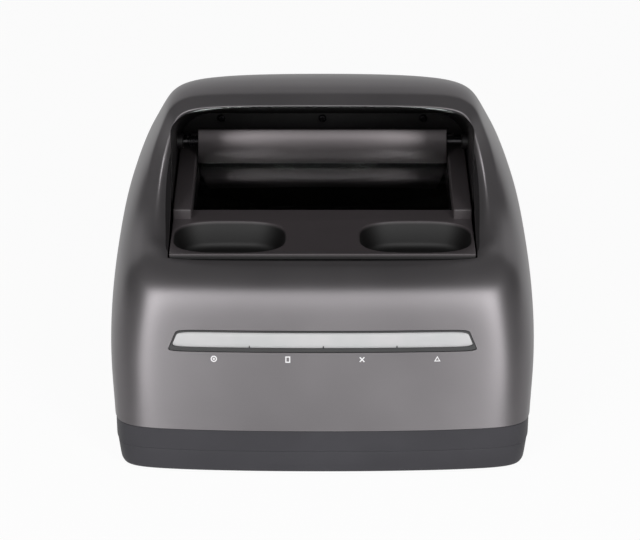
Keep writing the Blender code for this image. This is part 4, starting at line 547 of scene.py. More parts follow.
def turned(name, profile, place, axis="Z", sides=32):
    """Turn a profile of (radius, height) pairs about an axis through a place."""
    rings = []
    for radius, height in profile:
        ring = []
        for step in range(sides):
            angle = math.tau * (step + 1 / 2) / sides
            across, along = radius * math.cos(angle), radius * math.sin(angle)
            offset = {"Z": (across, along, height), "Y": (across, height, along), "X": (height, across, along)}
            ring.append(Vector(place) + Vector(offset[axis]))
        rings.append(ring)
    return lofted(name, rings)


def block(name, low, high):
    """Make a box from its lowest and highest corners."""
    ring = [(low[0], low[1]), (high[0], low[1]), (high[0], high[1]), (low[0], high[1])]
    return lofted(name, [[(x, y, z) for x, y in ring] for z in (low[2], high[2])])


def rounded(thing, width, segments=3, degrees=40):
    """Round a piece's sharp edges, as a mould or a stamping leaves them."""
    bevel = thing.modifiers.new("rounded_edges", "BEVEL")
    bevel.width = width
    bevel.segments = segments
    bevel.limit_method = "ANGLE"
    bevel.angle_limit = math.radians(degrees)
    return settle(thing)


def base_tray():
    ring = OUTER_SKIN[-1]
    base = lofted("base_tub", [inset_ring(ring, inset, z) for inset, z in BASE_PROFILE + BASE_INSIDE])
    cutters = []
    for corner in ("front_right", "front_left", "back_right", "back_left"):
        low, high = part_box("base_screw_" + corner)
        place = ((low[0] + high[0]) / 2, (low[1] + high[1]) / 2, 0)
        cutters.append(turned("screw_well_" + corner, [(3.1 * MM, 0), (3.1 * MM, FOOT_HEIGHT + 3 * MM)], place))
        low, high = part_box("rubber_foot_" + corner)
        place = ((low[0] + high[0]) / 2, (low[1] + high[1]) / 2, 0)
        cutters.append(turned("foot_well_" + corner, [(FOOT_RADIUS + SEAT_GAP, 0),
                                                      (FOOT_RADIUS + SEAT_GAP, FOOT_HEIGHT + 0.8 * MM)], place))
    low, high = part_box("rear_panel")
    cutters.append(block("connector_bay", (low[0] - SEAT_GAP, low[1] - 6 * MM, low[2] - SEAT_GAP),
                         (high[0] + SEAT_GAP, SHELL_BACK + OVERRUN, high[2] + SEAT_GAP)))
    carve(base, cutters)
    dress(base, grained_plastic("spark_eroded_grey_abs", "#313035", "#39383d", 0.55), "reader", "base_tray")


base_tray()

# Rubber feet
# Four round feet of soft black rubber, pressed into wells in the base. Each has three moulded rings
# on its sole, which keep the reader from sliding.
FOOT_RINGS = 3
FOOT_RING_WIDTH = 0.35 * MM


def foot_tree(rubber):
    """Build the feet from their places: a disc with raised rings, copied to each place."""
    tree = bpy.data.node_groups.new("moulded_foot", "GeometryNodeTree")
    tree.interface.new_socket("Geometry", in_out="INPUT", socket_type="NodeSocketGeometry")
    for label in ("Radius", "Height", "Ring Width"):
        tree.interface.new_socket(label, in_out="INPUT", socket_type="NodeSocketFloat")
    tree.interface.new_socket("Geometry", in_out="OUTPUT", socket_type="NodeSocketGeometry")
    given = add_node(tree, "NodeGroupInput")
    body = add_node(tree, "GeometryNodeMeshCylinder", {"Vertices": 48},
                    {"Radius": given.outputs["Radius"], "Depth": given.outputs["Height"]})
    parts = [body.outputs["Mesh"]]
    for index in range(FOOT_RINGS):
        share = (index + 1) / (FOOT_RINGS + 0.5)
        size = add_node(tree, "ShaderNodeMath", {1: share}, {0: given.outputs["Radius"]}, operation="MULTIPLY")
        path = add_node(tree, "GeometryNodeCurvePrimitiveCircle", {"Resolution": 48}, {"Radius": size.outputs["Value"]})
        bead = add_node(tree, "GeometryNodeCurvePrimitiveCircle", {"Resolution": 8},
                        {"Radius": given.outputs["Ring Width"]})
        ring = add_node(tree, "GeometryNodeCurveToMesh", links={"Curve": path.outputs["Curve"],
                                                                "Profile Curve": bead.outputs["Curve"]})
        half = add_node(tree, "ShaderNodeMath", {1: -0.5}, {0: given.outputs["Height"]}, operation="MULTIPLY")
        drop = add_node(tree, "ShaderNodeCombineXYZ", links={"Z": half.outputs["Value"]})
        lowered = add_node(tree, "GeometryNodeTransform", links={"Geometry": ring.outputs["Mesh"],
                                                                 "Translation": drop.outputs["Vector"]})
        parts.append(lowered.outputs["Geometry"])
    joined = add_node(tree, "GeometryNodeJoinGeometry")
    for part in parts:
        tree.links.new(part, joined.inputs["Geometry"])
    placed = add_node(tree, "GeometryNodeInstanceOnPoints", links={"Points": given.outputs["Geometry"],
                                                                   "Instance": joined.outputs["Geometry"]})
    solid = add_node(tree, "GeometryNodeRealizeInstances", links={"Geometry": placed.outputs["Instances"]})
    named = add_node(tree, "GeometryNodeSetMaterial", {"Material": rubber}, {"Geometry": solid.outputs["Geometry"]})
    add_node(tree, "NodeGroupOutput", links={"Geometry": named.outputs["Geometry"]})
    return tree


def grown(name, tree, places, **sizes):
    """Run a node tree on a set of places and keep the result as plain mesh at the origin."""
    mesh = bpy.data.meshes.new(name)
    mesh.from_pydata([tuple(place) for place in places], [], [])
    thing = bpy.data.objects.new(name, mesh)
    bpy.context.scene.collection.objects.link(thing)
    grow = thing.modifiers.new(tree.name, "NODES")
    grow.node_group = tree
    for item in tree.interface.items_tree:
        if item.in_out == "INPUT" and item.name in sizes:
            grow[item.identifier] = sizes[item.name]
    return settle(thing)


def rubber_feet():
    rubber = grained_plastic("moulded_nitrile_rubber", "#141414", "#1c1c1c", 0.85, 0.8 * MM)
    corners = ("front_right", "front_left", "back_right", "back_left")
    boxes = [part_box("rubber_foot_" + corner) for corner in corners]
    height = boxes[0][1][2] - FOOT_RING_WIDTH
    places = [((low[0] + high[0]) / 2, (low[1] + high[1]) / 2, FOOT_RING_WIDTH + height / 2) for low, high in boxes]
    feet = grown("moulded_feet", foot_tree(rubber), places,
                 **{"Radius": FOOT_RADIUS, "Height": height, "Ring Width": FOOT_RING_WIDTH})
    dress(feet, rubber, "reader", *["rubber_foot_" + corner for corner in corners])


rubber_feet()

# Screws
# Pan head screws with a cross recess and a rolled thread. Four zinc plated ones come up through the
# base into the shell, ten small ones hold what stands on the floor, and three black ones the liner.
SCREW_HEAD = (2.8 * MM, 2.0 * MM, 1.25 * MM)
SMALL_SCREW_HEAD = (2.1 * MM, 1.4 * MM, 1.0 * MM)
THREAD_PITCH = 0.8 * MM
THREAD_WIRE = 0.18 * MM
HEAD_CROWN_SHARE = 0.6
RECESS_REACH_SHARE = 1.1
RECESS_WIDTH_SHARE = 0.3
RECESS_LIFT_SHARE = 0.45


def screw_tree(steel):
    """Build screws from their places: a domed head with a cross recess, a shank and a thread."""
    tree = bpy.data.node_groups.new("pan_head_screw", "GeometryNodeTree")
    tree.interface.new_socket("Geometry", in_out="INPUT", socket_type="NodeSocketGeometry")
    for label in ("Head Radius", "Head Height", "Shank Radius", "Shank Length", "Thread Turns"):
        tree.interface.new_socket(label, in_out="INPUT", socket_type="NodeSocketFloat")
    tree.interface.new_socket("Turn", in_out="INPUT", socket_type="NodeSocketVector")
    tree.interface.new_socket("Geometry", in_out="OUTPUT", socket_type="NodeSocketGeometry")
    given = add_node(tree, "NodeGroupInput").outputs
    blank = add_node(tree, "GeometryNodeMeshCylinder", {"Vertices": 24, "Side Segments": 6},
                     {"Radius": given["Head Radius"], "Depth": given["Head Height"]})
    place = add_node(tree, "GeometryNodeInputPosition").outputs["Position"]
    parts = add_node(tree, "ShaderNodeSeparateXYZ", links={"Vector": place})
    rise = add_node(tree, "ShaderNodeMath", links={0: parts.outputs["Z"], 1: given["Head Height"]}, operation="DIVIDE")
    share = add_node(tree, "ShaderNodeMath", {1: 0.5}, {0: rise.outputs["Value"]}, operation="ADD", use_clamp=True)
    cubed = add_node(tree, "ShaderNodeMath", {1: 3.0}, {0: share.outputs["Value"]}, operation="POWER")
    rest = add_node(tree, "ShaderNodeMath", {1: -HEAD_CROWN_SHARE, 2: 1.0}, {0: cubed.outputs["Value"]},
                    operation="MULTIPLY_ADD")
    root = add_node(tree, "ShaderNodeMath", links={0: rest.outputs["Value"]}, operation="SQRT")
    draw = add_node(tree, "ShaderNodeCombineXYZ", {"Z": 1.0}, {"X": root.outputs["Value"], "Y": root.outputs["Value"]})
    domed = add_node(tree, "ShaderNodeVectorMath", links={0: place, 1: draw.outputs["Vector"]}, operation="MULTIPLY")
    head = add_node(tree, "GeometryNodeSetPosition", links={"Geometry": blank.outputs["Mesh"],
                                                            "Position": domed.outputs["Vector"]})
    recessed = add_node(tree, "GeometryNodeMeshBoolean", links={"Mesh 1": head.outputs["Geometry"]},
                        operation="DIFFERENCE", solver="EXACT")
    lift = add_node(tree, "ShaderNodeMath", {1: RECESS_LIFT_SHARE}, {0: given["Head Height"]}, operation="MULTIPLY")
    lifted = add_node(tree, "ShaderNodeCombineXYZ", links={"Z": lift.outputs["Value"]})
    for shares in ((RECESS_REACH_SHARE, RECESS_WIDTH_SHARE), (RECESS_WIDTH_SHARE, RECESS_REACH_SHARE)):
        sizes = [add_node(tree, "ShaderNodeMath", {1: share}, {0: given["Head Radius"]}, operation="MULTIPLY")
                 for share in shares]
        size = add_node(tree, "ShaderNodeCombineXYZ", links={"X": sizes[0].outputs["Value"],
                                                             "Y": sizes[1].outputs["Value"],
                                                             "Z": given["Head Height"]})
        arm = add_node(tree, "GeometryNodeMeshCube", links={"Size": size.outputs["Vector"]})
        raised = add_node(tree, "GeometryNodeTransform", links={"Geometry": arm.outputs["Mesh"],
                                                                "Translation": lifted.outputs["Vector"]})
        tree.links.new(raised.outputs["Geometry"], recessed.inputs["Mesh 2"])
    half_head = add_node(tree, "ShaderNodeMath", {1: 0.5}, {0: given["Head Height"]}, operation="MULTIPLY")
    up = add_node(tree, "ShaderNodeCombineXYZ", links={"Z": half_head.outputs["Value"]})
    seated = add_node(tree, "GeometryNodeTransform", links={"Geometry": recessed.outputs["Mesh"],
                                                            "Translation": up.outputs["Vector"]})
    core = add_node(tree, "ShaderNodeMath", {1: -THREAD_WIRE}, {0: given["Shank Radius"]}, operation="ADD")
    rod = add_node(tree, "GeometryNodeMeshCylinder", {"Vertices": 16},
                   {"Radius": core.outputs["Value"], "Depth": given["Shank Length"]})
    half_shank = add_node(tree, "ShaderNodeMath", {1: -0.5}, {0: given["Shank Length"]}, operation="MULTIPLY")
    down = add_node(tree, "ShaderNodeCombineXYZ", links={"Z": half_shank.outputs["Value"]})
    shank = add_node(tree, "GeometryNodeTransform", links={"Geometry": rod.outputs["Mesh"],
                                                           "Translation": down.outputs["Vector"]})
    helix = add_node(tree, "GeometryNodeCurveSpiral", {"Resolution": 12},
                     {"Rotations": given["Thread Turns"], "Start Radius": core.outputs["Value"],
                      "End Radius": core.outputs["Value"], "Height": given["Shank Length"]})
    wire = add_node(tree, "GeometryNodeCurvePrimitiveCircle", {"Resolution": 4, "Radius": THREAD_WIRE})
    rolled = add_node(tree, "GeometryNodeCurveToMesh", {"Fill Caps": True},
                      {"Curve": helix.outputs["Curve"], "Profile Curve": wire.outputs["Curve"]})
    foot = add_node(tree, "ShaderNodeMath", {1: -1.0}, {0: given["Shank Length"]}, operation="MULTIPLY")
    tip = add_node(tree, "ShaderNodeCombineXYZ", links={"Z": foot.outputs["Value"]})
    thread = add_node(tree, "GeometryNodeTransform", links={"Geometry": rolled.outputs["Mesh"],
                                                            "Translation": tip.outputs["Vector"]})
    whole = add_node(tree, "GeometryNodeJoinGeometry")
    for part in (seated, shank, thread):
        tree.links.new(part.outputs["Geometry"], whole.inputs["Geometry"])
    placed = add_node(tree, "GeometryNodeInstanceOnPoints",
                      links={"Points": given["Geometry"], "Instance": whole.outputs["Geometry"],
                             "Rotation": given["Turn"]})
    solid = add_node(tree, "GeometryNodeRealizeInstances", links={"Geometry": placed.outputs["Instances"]})
    named = add_node(tree, "GeometryNodeSetMaterial", {"Material": steel}, {"Geometry": solid.outputs["Geometry"]})
    add_node(tree, "NodeGroupOutput", links={"Geometry": named.outputs["Geometry"]})
    return tree


def worked_metal(name, dark, light, roughness, grain, stretch=(1, 1, 1), strength=0.12):
    """Bare, plated or anodised metal: fine working marks, drawn out along the way it was worked."""
    material, tree = new_material(name)
    coords = add_node(tree, "ShaderNodeTexCoord").outputs["Object"]
    drawn = add_node(tree, "ShaderNodeMapping", {"Scale": stretch}, {"Vector": coords})
    marks = add_node(tree, "ShaderNodeTexNoise", {"Scale": 1 / grain, "Detail": 3.0}, {"Vector": drawn.outputs["Vector"]})
    tint = add_node(tree, "ShaderNodeValToRGB", links={"Fac": marks.outputs["Fac"]})
    tint.color_ramp.elements[0].position = 0.35
    tint.color_ramp.elements[0].color = linear(dark)
    tint.color_ramp.elements[1].position = 0.65
    tint.color_ramp.elements[1].color = linear(light)
    rough = add_node(tree, "ShaderNodeMapRange", {"To Min": roughness - 0.06, "To Max": roughness + 0.06},
                     {"Value": marks.outputs["Fac"]})
    bump = add_node(tree, "ShaderNodeBump", {"Strength": strength, "Distance": 0.01 * MM}, {"Height": marks.outputs["Fac"]})
    shader = add_node(tree, "ShaderNodeBsdfPrincipled", {"Metallic": 1.0},
                      {"Base Color": tint.outputs["Color"], "Roughness": rough.outputs["Result"],
                       "Normal": bump.outputs["Normal"]})
    add_node(tree, "ShaderNodeOutputMaterial", links={"Surface": shader.outputs["BSDF"]})
    return material


def driven_screws(name, nodes, head, axis, heads_up, turn, steel):
    """Stand screws where the frame has them, with their heads towards one end of an axis."""
    radius, height, shank = head
    places = []
    for node in nodes:
        low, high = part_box(node)
        place = [(low[side] + high[side]) / 2 for side in range(3)]
        place[axis] = high[axis] - height if heads_up else low[axis] + height
        places.append(place)
    length = high[axis] - low[axis] - height
    screws = grown(name, screw_tree(steel), places,
                   **{"Head Radius": radius, "Head Height": height, "Shank Radius": shank, "Shank Length": length,
                      "Thread Turns": length / THREAD_PITCH, "Turn": turn})
    dress(screws, steel, "reader", *nodes)


ZINC = worked_metal("zinc_plated_steel", "#9d9d9f", "#b4b4b6", 0.34, 0.3 * MM)
BLACKENED = worked_metal("blackened_steel", "#232224", "#302f31", 0.42, 0.3 * MM)
SMALL_SCREWS = (["main_board_screw_%d" % count for count in (1, 2, 3, 4)] + ["io_board_screw_1", "io_board_screw_2"]
                + ["bracket_screw_1", "bracket_screw_2", "housing_screw_1", "housing_screw_2"])
driven_screws("base_screws", ["base_screw_" + corner for corner in
                              ("front_right", "front_left", "back_right", "back_left")],
              SCREW_HEAD, 2, False, (math.pi, 0, 0), ZINC)
driven_screws("floor_screws", SMALL_SCREWS, SMALL_SCREW_HEAD, 2, True, (0, 0, 0), ZINC)
driven_screws("liner_screws", ["liner_screw_1", "liner_screw_2", "liner_screw_3"],
              SMALL_SCREW_HEAD, 1, False, (math.pi / 2, 0, 0), BLACKENED)

# Document tray
# A plate of dark grey ABS in the shell's opening, moulded in one with two raised side guides, a low
# back stop and two deep oval scoops for the fingers. The platen glass sits flush in its window.
TRAY_HALF = 72.5 * MM
TRAY_BACK = 91 * MM
TRAY_BOTTOM = TRAY_TOP - 3 * MM
GUIDE_INSIDE = 63.5 * MM
GUIDE_FRONT = -18 * MM
GUIDE_TOP = TRAY_TOP + 5 * MM
PLATEN_FRONT = -6 * MM
PLATEN_BACK = 88 * MM
APERTURE_HALF = 63.35 * MM
SCOOP_MIDDLE = (44.5 * MM, -40.3 * MM)
SCOOP_HALF = (27.5 * MM, 20.2 * MM)
SCOOP_DEPTH = 12.5 * MM
SCOOP_WALL = 1.2 * MM
SCOOP_TAPER = 3.5 * MM
SCOOP_LIP = 0.7 * MM
SCOOP_FLOOR_ROUND = 3.5 * MM
SCOOP_SIDES = 96
SCOOP_SQUARENESS = 3


def scoop_ring(sign, shrink, z):
    """Give one level of a scoop: an oval with squared shoulders."""
    ring = []
    for step in range(SCOOP_SIDES):
        c, s = math.cos(math.tau * step / SCOOP_SIDES), math.sin(math.tau * step / SCOOP_SIDES)
        across = math.copysign(abs(c) ** (2 / SCOOP_SQUARENESS), c) * (SCOOP_HALF[0] - shrink)
        along = math.copysign(abs(s) ** (2 / SCOOP_SQUARENESS), s) * (SCOOP_HALF[1] - shrink)
        ring.append((sign * SCOOP_MIDDLE[0] + across, SCOOP_MIDDLE[1] + along, z))
    return ring


def scoop_hollow(sign):
    """Shape a scoop's inside: a rounded floor, a tapered wall and a softened lip."""
    floor = TRAY_TOP - SCOOP_DEPTH
    rings = []
    for angle in np.linspace(0, math.pi / 2, 7):
        rings.append(scoop_ring(sign, SCOOP_TAPER + SCOOP_FLOOR_ROUND * (1 - math.sin(angle)),
                                floor + SCOOP_FLOOR_ROUND * (1 - math.cos(angle))))
    for angle in np.linspace(0, math.pi / 2, 5):
        rings.append(scoop_ring(sign, SCOOP_LIP * math.cos(angle) - SCOOP_LIP * 0.3 * (1 - math.cos(angle)),
                                TRAY_TOP - SCOOP_LIP * (1 - math.sin(angle))))
    rings.append(scoop_ring(sign, -SCOOP_LIP * 0.4, TRAY_TOP + OVERRUN))
    return lofted("scoop_hollow", rings)


def tray_plastic():
    """Eroded ABS whose scoops run to near-black and a little rougher below the tray's top: the near-black is painted
    shade, so that they read as deep wells.
    """
    material, tree = new_material("eroded_dark_abs_with_painted_scoop_shade")
    coords = add_node(tree, "ShaderNodeTexCoord").outputs["Object"]
    pits = add_node(tree, "ShaderNodeTexNoise", {"Scale": 1 / (0.4 * MM), "Detail": 3.0}, {"Vector": coords})
    tint = add_node(tree, "ShaderNodeValToRGB", links={"Fac": pits.outputs["Fac"]})
    tint.color_ramp.elements[0].position = 0.35
    tint.color_ramp.elements[0].color = linear("#433e40")
    tint.color_ramp.elements[1].position = 0.65
    tint.color_ramp.elements[1].color = linear("#4b4648")
    # Painted shade: from just under the tray's top downwards the colour runs to near-black, darkening the scoops and
    # the other recesses.
    height = add_node(tree, "ShaderNodeSeparateXYZ", links={"Vector": coords})
    depth = add_node(tree, "ShaderNodeMapRange", {"From Min": TRAY_TOP - 0.3 * MM, "From Max": TRAY_TOP - 1.6 * MM},
                     {"Value": height.outputs["Z"]})
    painted_shade_colour = add_node(tree, "ShaderNodeMix", {"B": linear("#080707")},
                      {"Factor": depth.outputs["Result"], "A": tint.outputs["Color"]}, data_type="RGBA")
    rough = add_node(tree, "ShaderNodeMapRange", {"To Min": 0.42, "To Max": 0.52}, {"Value": pits.outputs["Fac"]})
    matt = add_node(tree, "ShaderNodeMath", {1: 0.12}, {0: depth.outputs["Result"], 2: rough.outputs["Result"]},
                    operation="MULTIPLY_ADD")
    bump = add_node(tree, "ShaderNodeBump", {"Strength": 0.3, "Distance": 0.03 * MM}, {"Height": pits.outputs["Fac"]})
    shader = add_node(tree, "ShaderNodeBsdfPrincipled", {"IOR": 1.54},
                      {"Base Color": painted_shade_colour.outputs["Result"], "Roughness": matt.outputs["Value"],
                       "Normal": bump.outputs["Normal"]})
    add_node(tree, "ShaderNodeOutputMaterial", links={"Surface": shader.outputs["BSDF"]})
    return material


def document_tray():
    tray = rounded(block("tray_moulding", (-TRAY_HALF, TRAY_FRONT, TRAY_BOTTOM), (TRAY_HALF, TRAY_BACK, TRAY_TOP)),
                   0.35 * MM)
    raised = []
    for sign in (1, -1):
        sides = sorted((sign * GUIDE_INSIDE, sign * TRAY_HALF))
        raised.append(rounded(block("guide", (sides[0], GUIDE_FRONT, TRAY_BOTTOM + 1 * MM),
                                    (sides[1], PLATEN_BACK - 5 * MM, GUIDE_TOP)), 0.9 * MM))
        raised.append(lofted("scoop_outside", [
            scoop_ring(sign, SCOOP_TAPER - SCOOP_WALL, TRAY_TOP - SCOOP_DEPTH - SCOOP_WALL),
            scoop_ring(sign, -SCOOP_WALL / 2, TRAY_BOTTOM + 1 * MM)]))
    raised.append(rounded(block("back_stop", (-68 * MM, PLATEN_BACK + SEAT_GAP, TRAY_BOTTOM + 1.5 * MM),
                                (68 * MM, TRAY_BACK, TRAY_TOP + 3.75 * MM)), 0.4 * MM))
    carve(tray, raised, "UNION")
    window = block("platen_window", (-APERTURE_HALF, PLATEN_FRONT - SEAT_GAP, TRAY_BOTTOM - OVERRUN),
                   (APERTURE_HALF, PLATEN_BACK + SEAT_GAP, TRAY_TOP + OVERRUN))
    carve(tray, [scoop_hollow(1), scoop_hollow(-1), window])
    dress(tray, tray_plastic(), "reader", "document_tray")


document_tray()

# Platen glass
# Clear polished float glass with a faint green tint and a ground edge, bonded flush in the tray on a
# foam gasket. Under it the dark optics housing makes it look almost black.


def platen_glass():
    material, tree = new_material("polished_float_glass")
    coords = add_node(tree, "ShaderNodeTexCoord").outputs["Object"]
    smear = add_node(tree, "ShaderNodeTexNoise", {"Scale": 1 / (25 * MM), "Detail": 3.0}, {"Vector": coords})
    rough = add_node(tree, "ShaderNodeMapRange", {"To Min": 0.01, "To Max": 0.05}, {"Value": smear.outputs["Fac"]})
    shader = add_node(tree, "ShaderNodeBsdfPrincipled",
                      {"Base Color": linear("#e9edeb"), "IOR": 1.52, "Transmission Weight": 1.0},
                      {"Roughness": rough.outputs["Result"]})
    add_node(tree, "ShaderNodeOutputMaterial", links={"Surface": shader.outputs["BSDF"]})
    low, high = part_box("platen_glass")
    glass = rounded(block("glass_plate", low, high), 0.25 * MM, 2)
    dress(glass, material, "reader", "platen_glass")


platen_glass()

# Cavity liner
# A thin black ABS moulding behind the hood's rim: two walls, a ceiling that falls to the back and the
# back wall itself, open in front and below. Two small bearings on its walls carry the flap's shaft.
FLAP_Y = 58 * MM
PIVOT_Z = 109.2 * MM
SHAFT_RADIUS = 1.5 * MM
BEARING_RADIUS = 4 * MM


def cavity_liner():
    low = TRAY_BOTTOM + SEAT_GAP
    outside = LINER_BACK + LINER_WALL
    start = LINER_FRONT - OVERRUN
    liner = lofted("liner_moulding", [arch(LINER_FRONT, ceiling(LINER_FRONT), low, LINER_WALL),
                                      arch(outside, ceiling(outside), low, LINER_WALL)])
    carve(liner, [lofted("liner_hollow", [arch(start, ceiling(start), low - OVERRUN),
                                          arch(LINER_BACK, ceiling(LINER_BACK), low - OVERRUN)])])
    bearings = [turned("bearing", [(BEARING_RADIUS - 0.4 * MM, sign * (OPENING_HALF - 3 * MM)),
                                   (BEARING_RADIUS, sign * (OPENING_HALF - 2.6 * MM)),
                                   (BEARING_RADIUS, sign * (OPENING_HALF + LINER_WALL / 2))],
                       (0, FLAP_Y, PIVOT_Z), "X") for sign in (1, -1)]
    carve(liner, bearings, "UNION")
    holes = [turned("bearing_hole", [(SHAFT_RADIUS + 0.4 * MM, sign * (OPENING_HALF - 7 * MM)),
                                     (SHAFT_RADIUS + 0.4 * MM, sign * (OPENING_HALF + LINER_WALL / 4))],
                    (0, FLAP_Y, PIVOT_Z), "X") for sign in (1, -1)]
    carve(liner, holes)
    dress(liner, grained_plastic("eroded_black_abs", "#0f0d0e", "#171416", 0.5, 0.6 * MM), "reader", "cavity_liner")


cavity_liner()

# Hold-down flap
# A thin bowed plate of smoke grey polycarbonate across the cavity, with a satin pearl finish. Its top
# leans back, and two knuckles behind it turn on the steel shaft.
FLAP_HALF = 62.9 * MM
FLAP_LOW = 98.3 * MM - PIVOT_Z
FLAP_HIGH = 6.8 * MM
FLAP_FRONT = -3.9 * MM
FLAP_THICKNESS = 1.4 * MM
FLAP_CURVE_MIDDLE = -5 * MM
FLAP_CURVE_RADIUS = 25 * MM
KNUCKLE_RADIUS = 3 * MM
KNUCKLE_LENGTH = 8 * MM


def flap_face(height):
    """Give how far back the plate's front stands at a height from the shaft."""
    rise = height - FLAP_CURVE_MIDDLE
    return FLAP_FRONT + FLAP_CURVE_RADIUS - math.sqrt(FLAP_CURVE_RADIUS ** 2 - rise ** 2)


def hold_down_flap():
    heights = np.linspace(FLAP_LOW, FLAP_HIGH, 25)
    front = [(flap_face(height), height) for height in heights]
    section = front + [(y + FLAP_THICKNESS, z) for y, z in reversed(front)]
    flap = lofted("smoke_flap", [[(x, FLAP_Y + y, PIVOT_Z + z) for y, z in section]
                                 for x in (-FLAP_HALF, FLAP_HALF)])
    rounded(flap, 0.4 * MM)
    knuckles = [turned("knuckle", [(KNUCKLE_RADIUS, sign * (FLAP_HALF - KNUCKLE_LENGTH) - KNUCKLE_LENGTH / 2),
                                   (KNUCKLE_RADIUS, sign * (FLAP_HALF - KNUCKLE_LENGTH) + KNUCKLE_LENGTH / 2)],
                       (0, FLAP_Y, PIVOT_Z), "X") for sign in (1, -1)]
    carve(flap, knuckles, "UNION")
    bore = turned("bore", [(SHAFT_RADIUS + 0.35 * MM, -FLAP_HALF - OVERRUN), (SHAFT_RADIUS + 0.35 * MM, FLAP_HALF + OVERRUN)],
                  (0, FLAP_Y, PIVOT_Z), "X")
    carve(flap, [bore])
    dress(flap, metallic_paint("satin_pearl_smoke_polycarbonate", "#6d686a", "#747071", 0.3, 0.36, 0.95),
          "flap", "hold_down_flap")


hold_down_flap()

# Flap shaft and return spring
# The shaft is ground steel with chamfered ends. A coil of spring steel wire sits round it beside the
# flap's left edge and swings the flap down again.
SHAFT_HALF = 73 * MM
SHAFT_CHAMFER = 0.3 * MM
SPRING_RADIUS = 2.3 * MM
SPRING_WIRE = 0.3 * MM
SPRING_TURNS = 5.0
SPRING_START = 63.5 * MM
SPRING_LENGTH = 4.5 * MM


def spring_tree(steel):
    """Wind wire into a coil that runs along -X from each place."""
    tree = bpy.data.node_groups.new("coil_spring", "GeometryNodeTree")
    tree.interface.new_socket("Geometry", in_out="INPUT", socket_type="NodeSocketGeometry")
    for label in ("Coil Radius", "Wire Radius", "Length", "Turns"):
        tree.interface.new_socket(label, in_out="INPUT", socket_type="NodeSocketFloat")
    tree.interface.new_socket("Geometry", in_out="OUTPUT", socket_type="NodeSocketGeometry")
    given = add_node(tree, "NodeGroupInput").outputs
    helix = add_node(tree, "GeometryNodeCurveSpiral", {"Resolution": 32},
                     {"Rotations": given["Turns"], "Start Radius": given["Coil Radius"],
                      "End Radius": given["Coil Radius"], "Height": given["Length"]})
    wire = add_node(tree, "GeometryNodeCurvePrimitiveCircle", {"Resolution": 10}, {"Radius": given["Wire Radius"]})
    wound = add_node(tree, "GeometryNodeCurveToMesh", {"Fill Caps": True},
                     {"Curve": helix.outputs["Curve"], "Profile Curve": wire.outputs["Curve"]})
    placed = add_node(tree, "GeometryNodeInstanceOnPoints", {"Rotation": (0, -math.pi / 2, 0)},
                      {"Points": given["Geometry"], "Instance": wound.outputs["Mesh"]})
    solid = add_node(tree, "GeometryNodeRealizeInstances", links={"Geometry": placed.outputs["Instances"]})
    named = add_node(tree, "GeometryNodeSetMaterial", {"Material": steel}, {"Geometry": solid.outputs["Geometry"]})
    add_node(tree, "NodeGroupOutput", links={"Geometry": named.outputs["Geometry"]})
    return tree


def shaft_and_spring():
    shaft = turned("ground_shaft", [(SHAFT_RADIUS - SHAFT_CHAMFER, -SHAFT_HALF), (SHAFT_RADIUS, SHAFT_CHAMFER - SHAFT_HALF),
                                    (SHAFT_RADIUS, SHAFT_HALF - SHAFT_CHAMFER), (SHAFT_RADIUS - SHAFT_CHAMFER, SHAFT_HALF)],
                   (0, FLAP_Y, PIVOT_Z), "X")
    # Painted shade: the shaft's and the spring's steel are coloured far darker than bare steel, because both sit in the
    # hood's dark cavity.
    dress(shaft, worked_metal("painted_shade_shaft_steel", "#4c4b4d", "#5c5b5d", 0.4, 0.25 * MM, (0.2, 1, 1)),
          "reader", "flap_shaft")
    wire = worked_metal("painted_shade_spring_steel", "#3a393b", "#474648", 0.45, 0.2 * MM)
    spring = grown("wound_spring", spring_tree(wire), [(-SPRING_START, FLAP_Y, PIVOT_Z)],
                   **{"Coil Radius": SPRING_RADIUS, "Wire Radius": SPRING_WIRE, "Length": SPRING_LENGTH,
                      "Turns": SPRING_TURNS})
    dress(spring, wire, "reader", "flap_spring")


shaft_and_spring()

# Light bar
# A milky acrylic light guide with four segments in a black surround, let flush into the face. The
# segments are parted by small notches in the surround's lower edge.
BEZEL_THICKNESS = 3.4 * MM
BEZEL_PROUD = -0.2 * MM
LENS_DEPTH = 0.5 * MM
LENS_THICKNESS = 2.2 * MM
LENS_CROWN = 0.5 * MM
SEGMENT_NOTCHES = (-34.3 * MM, 0.4 * MM, 34.9 * MM)
NOTCH_WIDTH = 0.7 * MM
NOTCH_HEIGHT = 1.0 * MM


def milky_acrylic():
    """Milky acrylic: light soaks in and spreads, so it looks soft and even with a clean gloss."""
    material, tree = new_material("milky_moulded_acrylic")
    coords = add_node(tree, "ShaderNodeTexCoord").outputs["Object"]
    cloud = add_node(tree, "ShaderNodeTexNoise", {"Scale": 1 / (14 * MM), "Detail": 2.0}, {"Vector": coords})
    tint = add_node(tree, "ShaderNodeValToRGB", links={"Fac": cloud.outputs["Fac"]})
    tint.color_ramp.elements[0].position = 0.3
    tint.color_ramp.elements[0].color = linear("#bfc1c1")
    tint.color_ramp.elements[1].position = 0.7
    tint.color_ramp.elements[1].color = linear("#c7c6c7")
    rough = add_node(tree, "ShaderNodeMapRange", {"To Min": 0.3, "To Max": 0.38}, {"Value": cloud.outputs["Fac"]})
    shader = add_node(tree, "ShaderNodeBsdfPrincipled", {"IOR": 1.49},
                      {"Base Color": tint.outputs["Color"], "Roughness": rough.outputs["Result"]})
    add_node(tree, "ShaderNodeOutputMaterial", links={"Surface": shader.outputs["BSDF"]})
    return material


